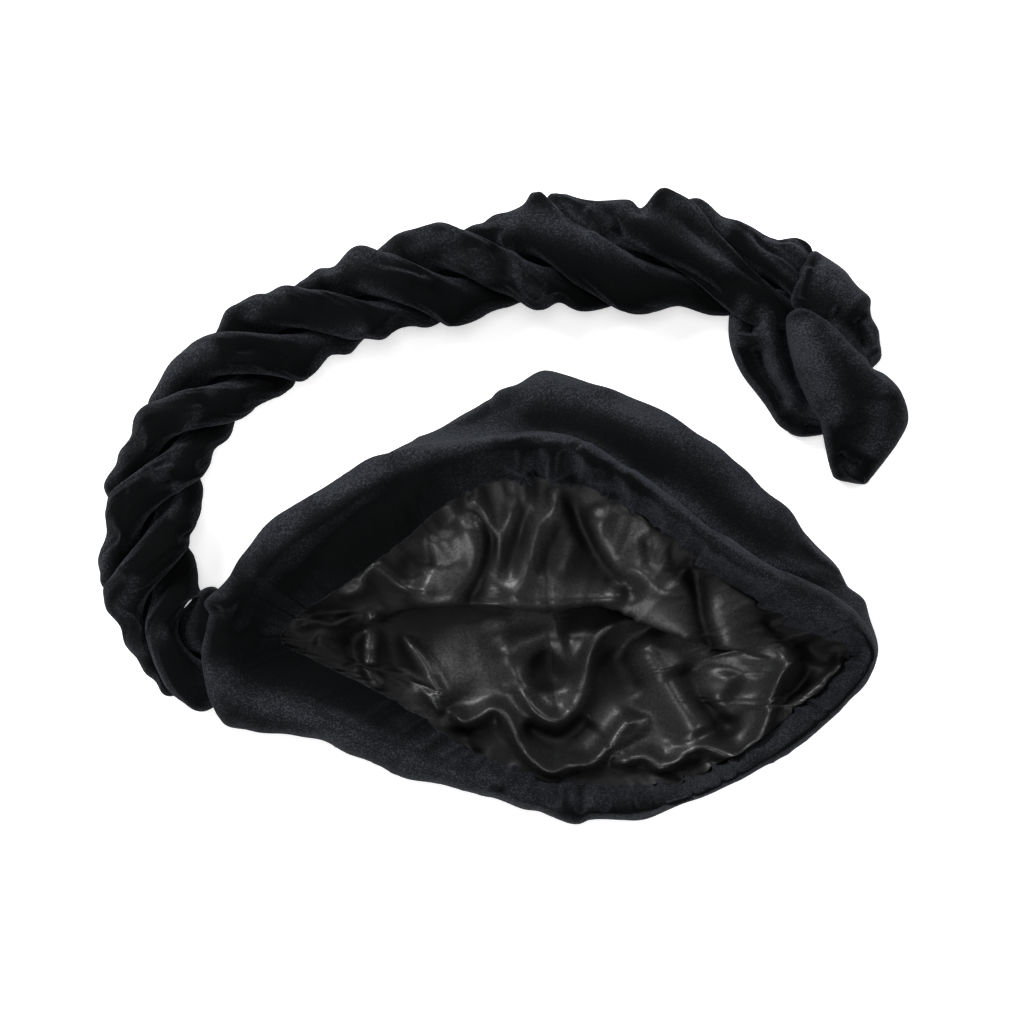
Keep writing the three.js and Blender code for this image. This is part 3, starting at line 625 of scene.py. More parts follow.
lowerFolds = [
    fold([(402, 632), (420, 660), (437, 690), (449, 712)], 6.0, 4.5, fade=0.25, spread=1.4),
    fold([(416, 676), (428, 696), (444, 716)], 2.6, 4),
    fold([(449, 708), (463, 722), (480, 717), (494, 709), (506, 718), (520, 745), (534, 762),
         (552, 772), (572, 766), (592, 764), (606, 752), (622, 731), (640, 714)], 7.5, 4.5, fade=0.06,
         lee=1.7),
    fold([(462, 726), (466, 748), (484, 762)], -3.0, 6),
    fold([(640, 712), (642, 726), (628, 740), (608, 752)], 3.0, 3.5),
    fold([(608, 760), (622, 763), (645, 757), (661, 768), (680, 760), (702, 747), (720, 752),
         (738, 758), (756, 746), (768, 720), (774, 694), (786, 668), (802, 654)], 7.0, 4.5, fade=0.06,
         lee=1.7),
    fold([(518, 668), (524, 696), (540, 716), (556, 722), (570, 716), (582, 698), (588, 674),
         (594, 648), (606, 632), (628, 623), (652, 624)], 7.0, 4.8, fade=0.12, lee=2.0),
    fold([(470, 650), (520, 642), (566, 640), (604, 624)], 5.0, 13, fade=0.3, crest=0.4),
    fold([(500, 640), (510, 664), (522, 690)], 4.0, 10, fade=0.3, crest=0.4),
    fold([(530, 652), (548, 668), (556, 696)], -5.0, 12, fade=0.35, crest=0.5),
    fold([(560, 640), (590, 628), (620, 618)], 3.0, 9, crest=0.3),
    fold([(590, 716), (560, 742), (520, 726)], -4.0, 8, crest=0.5),
    fold([(612, 646), (622, 672), (638, 700)], -5.0, 9, fade=0.3),
    fold([(636, 636), (660, 672), (684, 712), (704, 744)], 7.5, 13, lee=1.2, spread=1.3, crest=0.6),
    fold([(680, 664), (704, 704), (738, 738)], -5.0, 8),
    fold([(430, 640), (455, 668), (480, 700)], 2.4, 12, fade=0.4, crest=0.3),
    fold([(732, 668), (724, 686), (708, 706)], 4.5, 12, fade=0.3, crest=0.8),
    fold([(806, 640), (816, 656), (838, 660)], -3.0, 7),
    fold([(848, 657), (820, 684), (786, 712)], 4.5, 4.5, lee=1.8),
    fold([(812, 668), (802, 688), (782, 704)], -2.6, 6),
    fold([(700, 770), (724, 772), (752, 760)], 2.6, 4),
]


# Painted highlight and painted shade on the satin: where it is painted paler or darker, seen from above
paintedSatinRows = [
    fold([(284, 634), (330, 644), (400, 700)], -0.9, 34, fade=0.1),
    fold([(386, 606), (440, 614), (520, 618)], -0.6, 8),
    fold([(374, 612), (370, 640), (372, 674), (386, 692)], 1.3, 7),
    fold([(722, 556), (752, 596), (790, 636)], -0.6, 28),
    fold([(534, 652), (546, 672), (552, 694)], -0.7, 16),
    fold([(800, 664), (826, 664), (850, 650)], -0.7, 16),
    fold([(462, 730), (480, 752), (506, 772)], -0.7, 18),
    fold([(484, 516), (486, 550), (474, 596)], -0.5, 9),
    fold([(650, 520), (690, 560), (706, 640)], -0.5, 12),
    fold([(480, 640), (520, 630), (566, 628)], 0.5, 18),
    fold([(606, 570), (650, 606), (706, 650)], 0.5, 16),
    fold([(724, 668), (720, 686), (706, 704)], 0.7, 14),
    fold([(420, 530), (440, 560), (452, 590)], 0.3, 22),
]


def makeLining():
    # from the sewn edge over the lip of satinRows down to the middle: row counts the control
    # points, 0 at the edge, 5 at the middle; folds and slack only raise or lower it, and what
    # would go through the cap's floor is eased above it as log(1 + exp(height))
    settings = {
        "round": 520,
        "wall": 1.0,
        "tuck": 1.2,
        "middleEast": 0.05,
        "middleNorth": -0.36,
        "floorLift": 6.0,
        "clearance": 1.0,
        "ease": 2.0,
        "gathers": 120,
        "gatherHeight": 2.4,
        "gatherReach": 0.8,
        "slack": [(24.0, 1.6, 31), (11.0, 0.3, 32)],
        "lowerHeight": 1.25,
        "smoothing": 2,
        "deepest": 6.0,
    }
    turn = np.arange(settings["round"]) / settings["round"]
    edge = velvetControls(turn)[:2]
    along = edge[0] - edge[1]
    along /= np.linalg.norm(along, axis=-1, keepdims=True)
    start = edge[0] - along * settings["tuck"] - np.array([0, 0, cap["wall"] + cap["seamGap"]])
    floor = cap["wall"] + settings["floorLift"]
    middleSpot = np.array([settings["middleEast"] * cap["width"] / 2,
                           settings["middleNorth"] * cap["depth"] / 2])
    lift = start[:, 2] - floor
    lowest = cap["wall"] + settings["wall"] + settings["clearance"]

    def column(name):
        return readRows(satinRows, name, turn * len(satinRows), True)

    def between(share, z):
        share = np.broadcast_to(share, turn.shape)[:, None]
        flat = start[:, :2] * (1 - share) + middleSpot * share
        return np.concatenate([flat, np.broadcast_to(z, turn.shape)[:, None]], axis=-1)

    lipIn, lipRise = column("lipIn"), column("lipRise")
    turnIn, turnRise = column("turnIn"), column("turnRise")
    controls = np.stack([
        start,
        between(lipIn * 0.45, floor + lift * (0.45 + 0.55 * lipRise)),
        between(lipIn, floor + lift * lipRise),
        between(turnIn, floor + lift * turnRise * 0.6),
        between((turnIn + 1) * 0.5, floor),
        between(0.985, floor),
    ])
    place = np.concatenate([
        np.linspace(0, 2, 38, endpoint=False),
        np.linspace(2, 3, 16, endpoint=False),
        np.linspace(3, 5, 40),
    ])
    grid = curveThrough(controls, place)
    row = place[:, None]
    # the hanging part is above the lip and the lower part below it; at the front there is only
    # the lower one, and at the far left and right both fold lists apply to the whole height
    front = np.clip(-start[:, 1] / 12.0 - 1.2, 0, 1)[None]
    single = ramp(np.abs(start[:, 0] - 5), 95, 12)[None]
    hanging = np.maximum(ramp(2.35, row, 0.4), single) * (1 - front)
    lower = np.maximum(ramp(row, 2.75, 0.4), np.maximum(front, single))
    lower = lower * settings["lowerHeight"]
    relief = hanging * foldHeight(grid, hangingFolds) + lower * foldHeight(grid, lowerFolds)
    gathers = gatherWave(turn, settings["gathers"], 5) * bell(row, 0, settings["gatherReach"])
    relief = relief + settings["gatherHeight"] * gathers
    relief = relief + slackNoise(grid, settings["slack"])
    relief = relief * ramp(row, 0, 0.12)
    face = grid.copy()
    above = (grid[..., 2] + relief - lowest) / settings["ease"]
    face[..., 2] = lowest + settings["ease"] * np.logaddexp(0, above)
    for _ in range(settings["smoothing"]):
        face = smoothGrid(face)
    back = face - gridNormals(face) * settings["wall"]
    whole = np.concatenate([face[::-1], back])
    # painted light on the satin: painted highlight on raised folds, painted shade in the hollows, and
    # the painted rows
    paintedLight = relief / settings["deepest"] + foldHeight(grid, paintedSatinRows, 0.9)
    paintedLight = np.concatenate([paintedLight[::-1], paintedLight])
    piece = makeClosed("cap_satin", whole, satin, paintedLight)
    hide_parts("cap_lining")


# Braid

braid = {
    "span": 234.0,
    "rise": 159.0,
    "width": 41.0,
    "thickness": 28.0,
    "tightTurn": 102.0,
    "looseTurn": 165.0,
    "tightLength": 296.0,
    "round": 0.545,
    "reach": 0.47,
    "gap": 0.3,
    "steps": 560,
    "sides": 72,
    "linePoints": 30,
    "headingPoints": 20,
    "corners": 2.8,
    "swell": 0.05,
    "crease": 0.03,
    "pinch": 0.02,
    "fine": 0.006,
}
# the braid's line as shares of its span and rise, and its width and thickness as shares
braidRows = table("east north wide thick", [
    (0.035, -0.014, 0.96, 0.95),
    (-0.014, -0.01, 0.92, 1.0),
    (-0.062, 0.01, 0.88, 1.0),
    (-0.096, 0.062, 0.88, 1.0),
    (-0.105, 0.14, 0.94, 1.0),
    (-0.104, 0.235, 1.0, 1.0),
    (-0.1, 0.36, 1.0, 1.0),
    (-0.076, 0.49, 1.0, 1.0),
    (-0.024, 0.62, 1.0, 1.0),
    (0.066, 0.74, 1.0, 1.0),
    (0.185, 0.842, 1.0, 1.0),
    (0.32, 0.918, 1.0, 1.0),
    (0.46, 0.97, 1.02, 1.0),
    (0.6, 1.0, 1.16, 1.0),
    (0.74, 1.0, 1.16, 0.95),
    (0.87, 0.975, 1.12, 0.85),
    (0.985, 0.92, 0.85, 0.75),
    (1.035, 0.875, 0.6, 0.62),
])


def braidLine(shares):
    # the braid's middle line, heading, half sizes and turns at shares of its length; the turns are
    # the tight length / tightTurn plus the length beyond it / looseTurn
    fine = braid["linePoints"] * (len(braidRows) - 1)
    index = np.arange(fine + 1)
    place = index / braid["linePoints"]

    def column(name):
        return readRows(braidRows, name, place)

    corner = np.array([-cap["width"] / 2, -0.14 * cap["depth"] / 2])
    flat = np.stack([column("east") * braid["span"], column("north") * braid["rise"]], axis=-1)
    flat = flat + corner
    legs = np.linalg.norm(np.diff(flat, axis=0), axis=-1)
    reached = np.concatenate([[0], np.cumsum(legs)])
    near = braid["headingPoints"]
    ahead = flat[np.minimum(index + near, fine)] - flat[np.maximum(index - near, 0)]
    angle = np.unwrap(np.arctan2(ahead[:, 1], ahead[:, 0]))
    length = shares * reached[-1]

    def at(values):
        return np.interp(length, reached, values)

    spot = np.stack([at(flat[:, 0]), at(flat[:, 1])], axis=-1)
    bearing = at(angle)
    heading = np.stack([np.cos(bearing), np.sin(bearing)], axis=-1)
    wide = at(column("wide")) * braid["width"] / 2
    thick = at(column("thick")) * braid["thickness"] / 2
    turns = np.minimum(length, braid["tightLength"]) / braid["tightTurn"]
    turns = turns + np.maximum(length - braid["tightLength"], 0) / braid["looseTurn"]
    return spot, heading, wide, thick, turns, length


def roundedEnds(share, reach):
    # a quarter circle, sqrt(near * (2 - near)), from 0 to 1 within the given share of each end
    near = ramp(np.minimum(share, 1 - share), 0, reach)
    return np.sqrt(np.clip(near * (2 - near), 0, 1))


def strandGrid(which, seed):
    # each strand fills a third of the braid: round outside, pressed flat against its neighbours,
    # with long soft creases, all turned by the braid's twist and laid along its line; the radius
    # blends the round and the two flat sides as (sum of side^-n)^(-1/n)
    share = np.linspace(0, 1, braid["steps"])
    spot, heading, wide, thick, turns, length = braidLine(share)
    around = 2 * np.pi * np.arange(braid["sides"]) / braid["sides"]
    cosine, sine = np.cos(around), np.sin(around)
    third = math.pi / 3
    room = braid["reach"] * math.sin(third) - braid["gap"] / wide[:, None]
    reach = [np.full((len(wide), len(around)), braid["round"])]
    for sign in (-1, 1):
        facing = -math.sin(third) * cosine + sign * math.cos(third) * sine
        reach.append(room / np.maximum(facing, 0.05)[None])
    radius = sum(part ** -braid["corners"] for part in reach) ** (-1 / braid["corners"])
    along = length[:, None] / 10.0

    def noise(size, run, extra):
        where = (cosine * size, sine * size, along * run + seed * 7.3 + extra)
        return softNoise(np.stack(np.broadcast_arrays(*where), axis=-1), 1.0, seed + extra)

    swell = noise(1.2, 0.5, 0)
    crease = noise(4.0, 0.2, 40)
    pinch = 0.35 - np.abs(noise(5.5, 0.16, 50))
    fine = noise(10.0, 0.45, 60)
    radius = radius * (1 + braid["swell"] * swell + braid["crease"] * crease
                       + braid["pinch"] * pinch + braid["fine"] * fine)
    radius = radius * roundedEnds(share, 0.02)[:, None]
    x = braid["reach"] + radius * cosine
    y = radius * sine
    limit = np.maximum(x, 0) * math.tan(third) - braid["gap"] / wide[:, None] / math.cos(third)
    y = np.clip(y, -np.maximum(limit, 0), np.maximum(limit, 0))
    twist = 2 * np.pi * (turns + which / 3)[:, None]
    left = (x * np.cos(twist) - y * np.sin(twist)) * wide[:, None]
    up = (x * np.sin(twist) + y * np.cos(twist)) * thick[:, None]
    return np.stack([
        spot[:, None, 0] - heading[:, None, 1] * left,
        spot[:, None, 1] + heading[:, None, 0] * left,
        np.maximum(thick[:, None] + up, 0),
    ], axis=-1)


# Folds of the braid seen from above, first along its tight run and then at its loosened end
braidFolds = [
    fold([(366, 262), (395, 266), (430, 276)], -1.6, 3),
    fold([(380, 272), (410, 276), (438, 288)], 1.2, 3),
    fold([(410, 282), (440, 295), (462, 300)], -1.2, 8),
    fold([(440, 256), (458, 248), (486, 246)], -2.0, 3.5),
    fold([(300, 336), (340, 342), (382, 330)], 1.6, 5),
    fold([(316, 300), (350, 300), (384, 318)], -1.2, 8),
    fold([(232, 352), (262, 350), (292, 366)], -1.5, 3),
    fold([(226, 364), (252, 362), (276, 374)], 1.2, 3),
    fold([(232, 378), (258, 378), (280, 384)], -1.2, 3),
    fold([(204, 404), (184, 424), (172, 452)], 2.0, 3),
    fold([(140, 466), (158, 474), (176, 466)], 2.2, 4),
    fold([(146, 478), (160, 484), (176, 480)], -2.0, 4),
    fold([(176, 480), (178, 500), (168, 518)], 1.8, 3),
    fold([(118, 566), (130, 575), (138, 592)], 1.8, 4),
    fold([(126, 480), (122, 520), (130, 560)], -1.2, 5),
    fold([(500, 228), (510, 250), (516, 272), (528, 294), (548, 302)], 3.2, 4, lee=2.0),
    fold([(494, 244), (500, 262), (508, 282)], -3.0, 6),
    fold([(542, 212), (552, 208), (566, 214)], 2.0, 4),
    fold([(560, 212), (574, 222), (592, 232)], -2.6, 4),
    fold([(586, 206), (596, 216), (606, 234)], 2.2, 4),
    fold([(608, 206), (616, 222), (622, 242)], -2.4, 4),
    fold([(600, 222), (640, 254), (690, 276), (728, 304)], -3.4, 4.5),
    fold([(622, 214), (660, 234), (700, 256), (740, 280)], 2.4, 7),
    fold([(684, 226), (706, 244), (720, 262)], -1.6, 3),
    fold([(652, 212), (690, 230), (726, 256), (770, 288)], -2.6, 4),
    fold([(668, 196), (704, 216), (740, 244), (780, 278)], 2.4, 9),
    fold([(744, 230), (772, 256), (806, 286)], 2.4, 3),
    fold([(752, 230), (780, 256), (806, 278)], -2.2, 2.5),
    fold([(762, 231), (788, 254), (808, 272)], 2.2, 3),
    fold([(776, 234), (796, 252), (810, 264)], -1.8, 2.5),
    fold([(790, 238), (804, 250), (816, 260)], 1.8, 3),
    fold([(560, 226), (610, 240), (660, 262), (720, 294)], 1.6, 12, crest=0.2),
]
braidPulls = table("x y right down reach", [
    (552, 200, -2, -16, 20), (540, 202, -6, -8, 11), (672, 200, -4, -20, 22), (700, 210, 2, -13, 20),
    (766, 236, 0, 7, 24), (505, 205, 0, 6, 20), (602, 198, 0, 3, 26), (95, 535, 10, 0, 22),
    (122, 665, 13, -9, 26), (122, 440, 11, 5, 24), (166, 362, 4, 3, 24), (222, 455, -8, -4, 14),
    (262, 404, -6, -8, 16), (332, 366, -4, -13, 16), (404, 336, 0, -14, 18), (368, 352, -2, -6, 12),
    (490, 318, 0, -9, 16), (560, 314, 0, -9, 18), (620, 306, 0, 4, 22), (680, 320, 0, -15, 30),
    (330, 258, 2, 10, 14), (440, 228, 0, -5, 18), (197, 550, 5, 0, 12), (165, 700, -1, 9, 18),
    (646, 203, -4, 14, 11), (822, 256, 4, -9, 14), (722, 216, 0, 5, 14), (800, 246, 4, -13, 19),
    (810, 254, 5, -3, 10), (310, 275, 0, 7, 12), (360, 250, 0, -7, 18), (398, 240, 0, -5, 16),
    (268, 288, 0, 4, 10), (228, 312, -3, -3, 14), (158, 385, 4, 3, 16), (128, 435, 5, 4, 12),
    (107, 488, -4, 0, 12), (103, 536, 6, 0, 12), (102, 585, -4, 0, 10), (112, 632, 22, -9, 19),
    (148, 684, 4, -4, 10), (195, 702, 0, 8, 16), (485, 218, 0, 5, 10), (395, 335, 0, -5, 10),
    (448, 326, 0, 7, 14), (188, 354, 4, 4, 12), (110, 463, 5, 2, 12), (206, 465, -5, 0, 8),
    (300, 385, 2, 8, 14), (510, 308, 0, -5, 16), (558, 312, 0, -8, 12), (203, 488, 5, 0, 14),
    (186, 535, -5, 0, 7), (194, 570, 3, 0, 17), (198, 606, 18, 3, 15), (206, 618, 2, -22, 15),
    (191, 615, 1, -20, 11),
])


def upright(grid):
    # normals that point out of a closed skin, judged by its topmost ring
    normal = gridNormals(grid)
    crown = grid[..., 2] > grid[..., 2].max() - 2
    return normal if normal[crown][:, 2].mean() > 0 else -normal


def dressGrid(name, grid, relief, pulls):
    # moves the cloth out along its normals by the relief, as far as it looks up, then pulls it
    # into place, keeps it on the table and makes the piece
    normal = upright(grid)
    upward = np.clip(normal[..., 2], 0, 1)
    grid = pullCloth(grid + normal * (upward * relief)[..., None], pulls)
    grid[..., 2] = np.maximum(grid[..., 2], 0)
    # the velvet's painted sheen comes from the sheen rows
    return makeClosed("velvet_" + name, grid, velvet, paintedPileSheen(grid))


def makeStrands():
    # three strands a third of a turn apart, with the same folds and pulls
    for which, name in enumerate(["strand_one", "strand_two", "strand_three"]):
        grid = strandGrid(which, which + 1)
        piece = dressGrid(name, grid, foldHeight(grid, braidFolds), braidPulls)
        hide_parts(name)


# Tails and wrap: each row gives the left and right edge as photo pixels, and the heights of the
# top and the underside in millimetres
longTailRows = table("leftX leftY rightX rightY top under", [
    (787, 312, 806, 305, 22, 10),
    (787, 330, 830, 321, 25, 8),
    (791, 352, 852, 345, 26, 6),
    (799, 378, 878, 366, 25, 4),
    (811, 404, 902, 390, 22, 2),
    (823, 427, 911, 418, 19, 0),
    (828, 448, 901, 442, 16, 0),
    (832, 465, 886, 463, 13, 0),
    (838, 482, 872, 480, 9, 0),
])
shortTailRows = table("leftX leftY rightX rightY top under", [
    (738, 288, 792, 286, 14, 0),
    (731, 312, 796, 310, 16, 0),
    (731, 340, 802, 336, 16, 0),
    (740, 368, 812, 360, 15, 0),
    (755, 396, 822, 385, 14, 0),
    (770, 414, 828, 406, 12, 0),
    (784, 430, 834, 424, 10, 0),
    (796, 438, 830, 434, 7, 0),
])
wrapRows = table("leftX leftY rightX rightY top under", [
    (810, 245, 788, 298, 21, 10),
    (840, 265, 806, 322, 24, 6),
    (855, 281, 824, 340, 23, 3),
    (869, 298, 844, 356, 20, 0),
    (874, 318, 860, 366, 17, 0),
    (882, 340, 870, 371, 14, 0),
    (886, 358, 876, 369, 9, 0),
])


def leafGrid(rows, seed):
    # a padded leaf: at each step a superellipse spans the two edges, its cosine and sine raised to
    # a power, lower below than above, and both ends close in a quarter circle
    settings = {"steps": 170, "sides": 96, "power": 0.8, "ends": 0.06, "waist": 0.4, "noiseSize": 14.0}
    place = np.linspace(0, len(rows) - 1, settings["steps"])

    def edge(columnX, columnY):
        x = (readRows(rows, columnX, place) - photo["mouthX"]) * photo["mmPerPixel"]
        y = (photo["mouthY"] - readRows(rows, columnY, place)) * photo["mmPerPixel"]
        return np.stack([x, y], axis=-1)

    left, right = edge("leftX", "leftY"), edge("rightX", "rightY")
    top, under = readRows(rows, "top", place), readRows(rows, "under", place)
    around = 2 * np.pi * np.arange(settings["sides"]) / settings["sides"]
    across = np.sign(np.cos(around)) * np.abs(np.cos(around)) ** settings["power"]
    up = np.sign(np.sin(around)) * np.abs(np.sin(around)) ** settings["power"]
    closing = roundedEnds(place / place[-1], settings["ends"])[:, None]
    centre, half = (left + right) / 2, (right - left) / 2
    flat = centre[:, None] + half[:, None] * (closing * across[None])[..., None]
    level = (under + (top - under) * settings["waist"])[:, None]
    room = np.where(up[None] > 0, top[:, None] - level, level - under[:, None])
    z = level + room * up[None] * closing
    grid = np.concatenate([flat, z[..., None]], axis=-1)
    grid[..., 2] += softNoise(grid, settings["noiseSize"], seed) * (up[None] > 0) * closing
    grid[..., 2] = np.maximum(grid[..., 2], 0)
    return grid


tailFolds = {
    "long_tail": [
        fold([(800, 318), (816, 352), (838, 396), (856, 430)], 2.4, 13),
        fold([(830, 328), (862, 364), (896, 398)], 1.8, 5),
        fold([(838, 348), (862, 392), (874, 430), (868, 462)], -3.2, 11),
        fold([(806, 380), (822, 408), (838, 432)], -1.2, 5),
        fold([(842, 462), (852, 474), (864, 478)], 2.2, 3),
        fold([(838, 452), (850, 464), (864, 466)], -2.2, 4),
        fold([(884, 404), (890, 424), (880, 446)], 1.6, 6),
    ],
    "short_tail": [
        fold([(748, 300), (750, 318), (749, 336)], -8.0, 4.5),
        fold([(740, 316), (740, 345), (752, 374), (775, 408), (794, 426)], 2.2, 5),
        fold([(757, 342), (766, 376), (788, 412)], -6.0, 6),
        fold([(766, 298), (770, 335), (781, 372), (800, 408)], 4.6, 6.5),
        fold([(786, 316), (791, 350), (800, 382), (818, 412)], -7.0, 5.5),
        fold([(798, 414), (812, 418), (824, 422)], 2.4, 3),
        fold([(806, 424), (826, 427)], -2.0, 3),
    ],
    "end_wrap": [
        fold([(818, 262), (850, 284), (868, 302)], 1.6, 8),
        fold([(812, 266), (806, 284), (802, 300)], 2.0, 4),
        fold([(832, 306), (856, 332), (870, 356)], -3.6, 9),
        fold([(826, 276), (836, 296), (838, 314)], -1.6, 4),
        fold([(866, 306), (875, 332), (881, 356)], 2.2, 4),
        fold([(860, 316), (866, 336), (872, 352)], -2.0, 3),
    ],
}
tailPulls = table("x y right down reach", [
    (756, 402, 4, -3, 26), (788, 436, 1, -3, 12), (846, 272, 1, 0, 12), (892, 394, 1, 0, 12),
    (862, 482, 6, 4, 10), (868, 297, 4, 0, 9), (873, 330, 4, 0, 10), (878, 364, -4, 2, 8),
])


def makeTails():
    # leaves between their tables' edges, with soft slack and their own folds
    for name, rows, seed in (("long_tail", longTailRows, 61), ("short_tail", shortTailRows, 62),
                             ("end_wrap", wrapRows, 63)):
        grid = leafGrid(rows, seed)
        slack = slackNoise(grid, [(9.0, 0.7, seed), (4.0, 0.2, seed)])
        piece = dressGrid(name, grid, slack + foldHeight(grid, tailFolds[name]), tailPulls)
        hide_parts(name)


# Materials

def newMaterial(name):
    # a material with one Principled shader on its output
    material = bpy.data.materials.new(name)
    material.use_nodes = True
    tree = material.node_tree
    tree.nodes.clear()
    output = tree.nodes.new("ShaderNodeOutputMaterial")
    shader = tree.nodes.new("ShaderNodeBsdfPrincipled")
    tree.links.new(shader.outputs[0], output.inputs[0])
    return material, tree, shader


def setInputs(node, values):
    # fixed values, straight on the node's sockets
    for name, value in values.items():
        node.inputs[name].default_value = value


def makeGrainGroup():
    # cloth grain at two scales: cells give short fibres or threads, a slow noise gives patches
    group = bpy.data.node_groups.new("cloth_grain", "ShaderNodeTree")
    for name, kind in (("Vector", "NodeSocketVector"), ("Grain Scale", "NodeSocketFloat"),
                       ("Patch Scale", "NodeSocketFloat")):
        group.interface.new_socket(name, in_out="INPUT", socket_type=kind)
    for name in ("Grain", "Patches"):
        group.interface.new_socket(name, in_out="OUTPUT", socket_type="NodeSocketFloat")
    nodes, links = group.nodes, group.links
    inward, outward = nodes.new("NodeGroupInput"), nodes.new("NodeGroupOutput")
    grain, patches = nodes.new("ShaderNodeTexNoise"), nodes.new("ShaderNodeTexNoise")
    setInputs(grain, {"Detail": 3.0, "Roughness": 0.75})
    setInputs(patches, {"Detail": 5.0, "Roughness": 0.6})
    for node, scale, output in ((grain, "Grain Scale", "Grain"), (patches, "Patch Scale", "Patches")):
        links.new(inward.outputs["Vector"], node.inputs["Vector"])
        links.new(inward.outputs[scale], node.inputs["Scale"])
        links.new(node.outputs["Fac"], outward.inputs[output])
    return group


def addGrain(tree, group, grainScale, patchScale):
    # places the group on the piece's Object coordinates
    node = tree.nodes.new("ShaderNodeGroup")
    node.node_tree = group
    setInputs(node, {"Grain Scale": grainScale, "Patch Scale": patchScale})
    where = tree.nodes.new("ShaderNodeTexCoord")
    tree.links.new(where.outputs["Object"], node.inputs["Vector"])
    return node


def addRange(tree, source, ends):
    # the source between the first two numbers becomes a value between the last two
    node = tree.nodes.new("ShaderNodeMapRange")
    setInputs(node, dict(zip(("From Min", "From Max", "To Min", "To Max"), ends)))
    tree.links.new(source, node.inputs["Value"])
    return node.outputs["Result"]


def addColours(tree, factor, first, second):
    # first * (1 - factor) + second * factor
    node = tree.nodes.new("ShaderNodeMix")
    node.data_type = "RGBA"
    setInputs(node, {"A": first, "B": second})
    tree.links.new(factor, node.inputs["Factor"])
    return node.outputs["Result"]


def addPaintedLight(tree):
    # the painted light stored at each vertex: painted sheen on velvet; painted highlight and shade from
    # the height of the folds on satin
    node = tree.nodes.new("ShaderNodeAttribute")
    node.attribute_name = "paintedLight"
    return node.outputs["Fac"]


def addRib(tree, scale):
    # knit ribs along the cloth's own map, as a wave between 0 and 1
    where = tree.nodes.new("ShaderNodeUVMap")
    where.uv_map = "cloth"
    wave = tree.nodes.new("ShaderNodeTexWave")
    wave.bands_direction = "DIAGONAL"
    setInputs(wave, {"Scale": scale, "Distortion": 1.5})
    tree.links.new(where.outputs["UV"], wave.inputs["Vector"])
    return wave.outputs["Fac"]


def addMath(tree, operation, first, second):
    node = tree.nodes.new("ShaderNodeMath")
    node.operation = operation
    tree.links.new(first, node.inputs[0])
    tree.links.new(second, node.inputs[1])
    return node.outputs["Value"]


def addBump(tree, height, distance, strength, shader):
    # tilts the shader's normal by the slope of the height pattern
    node = tree.nodes.new("ShaderNodeBump")
    setInputs(node, {"Distance": distance, "Strength": strength})
    tree.links.new(height, node.inputs["Height"])
    tree.links.new(node.outputs["Normal"], shader.inputs["Normal"])


def makeVelvet():
    # painted sheen on dark pile: (painted grazing sheen + painted sheen rows) * patches * painted glints
    # * rib
    settings = {
        "pile": (0.0014, 0.0017, 0.0018, 1.0),
        # the pale colour of the painted sheen
        "paintedSheenColour": (0.028, 0.0305, 0.036, 1.0),
        "sheen": 0.02,
        "sheenRoughness": 0.3,
        "sheenTint": (0.5, 0.6, 0.85, 1.0),
        "fibreScale": 1250.0,
        "brushScale": 60.0,
        "ribScale": 280.0,
        "paintedGrazingSheen": (0.16, 0.85, 0.0, 1.0),
        "brush": (0.35, 0.65, 0.35, 1.0),
        "glint": (0.48, 0.7, 0.6, 3.8),
        "rib": (0.0, 1.0, 0.9, 1.1),
        "roughness": (0.3, 0.7, 0.75, 1.0),
        "bumpDistance": 0.0005,
        "bumpStrength": 0.7,
        "specular": 0.04,
    }
    material, tree, shader = newMaterial("velvet")
    cloth = addGrain(tree, grainGroup, settings["fibreScale"], settings["brushScale"])
    # painted sheen: the pale colour grows where the cloth turns away from the eye
    edge = tree.nodes.new("ShaderNodeLayerWeight")
    edge.inputs["Blend"].default_value = 0.5
    paintedGrazingSheen = addRange(tree, edge.outputs["Facing"], settings["paintedGrazingSheen"])
    brushed = addRange(tree, cloth.outputs["Patches"], settings["brush"])
    # painted glints: the grain makes the painted sheen sparkle
    glint = addRange(tree, cloth.outputs["Grain"], settings["glint"])
    raised = addMath(tree, "ADD", paintedGrazingSheen, addPaintedLight(tree))
    rib = addRange(tree, addRib(tree, settings["ribScale"]), settings["rib"])
    lit = addMath(tree, "MULTIPLY", addMath(tree, "MULTIPLY", raised, brushed), glint)
    lit = addMath(tree, "MULTIPLY", lit, rib)
    colour = addColours(tree, lit, settings["pile"], settings["paintedSheenColour"])
    tree.links.new(colour, shader.inputs["Base Color"])
    rough = addRange(tree, cloth.outputs["Patches"], settings["roughness"])
    tree.links.new(rough, shader.inputs["Roughness"])
    addBump(tree, cloth.outputs["Grain"], settings["bumpDistance"], settings["bumpStrength"], shader)
    setInputs(shader, {
        "Specular IOR Level": settings["specular"],
        "Sheen Weight": settings["sheen"],
        "Sheen Roughness": settings["sheenRoughness"],
        "Sheen Tint": settings["sheenTint"],
    })
    return material


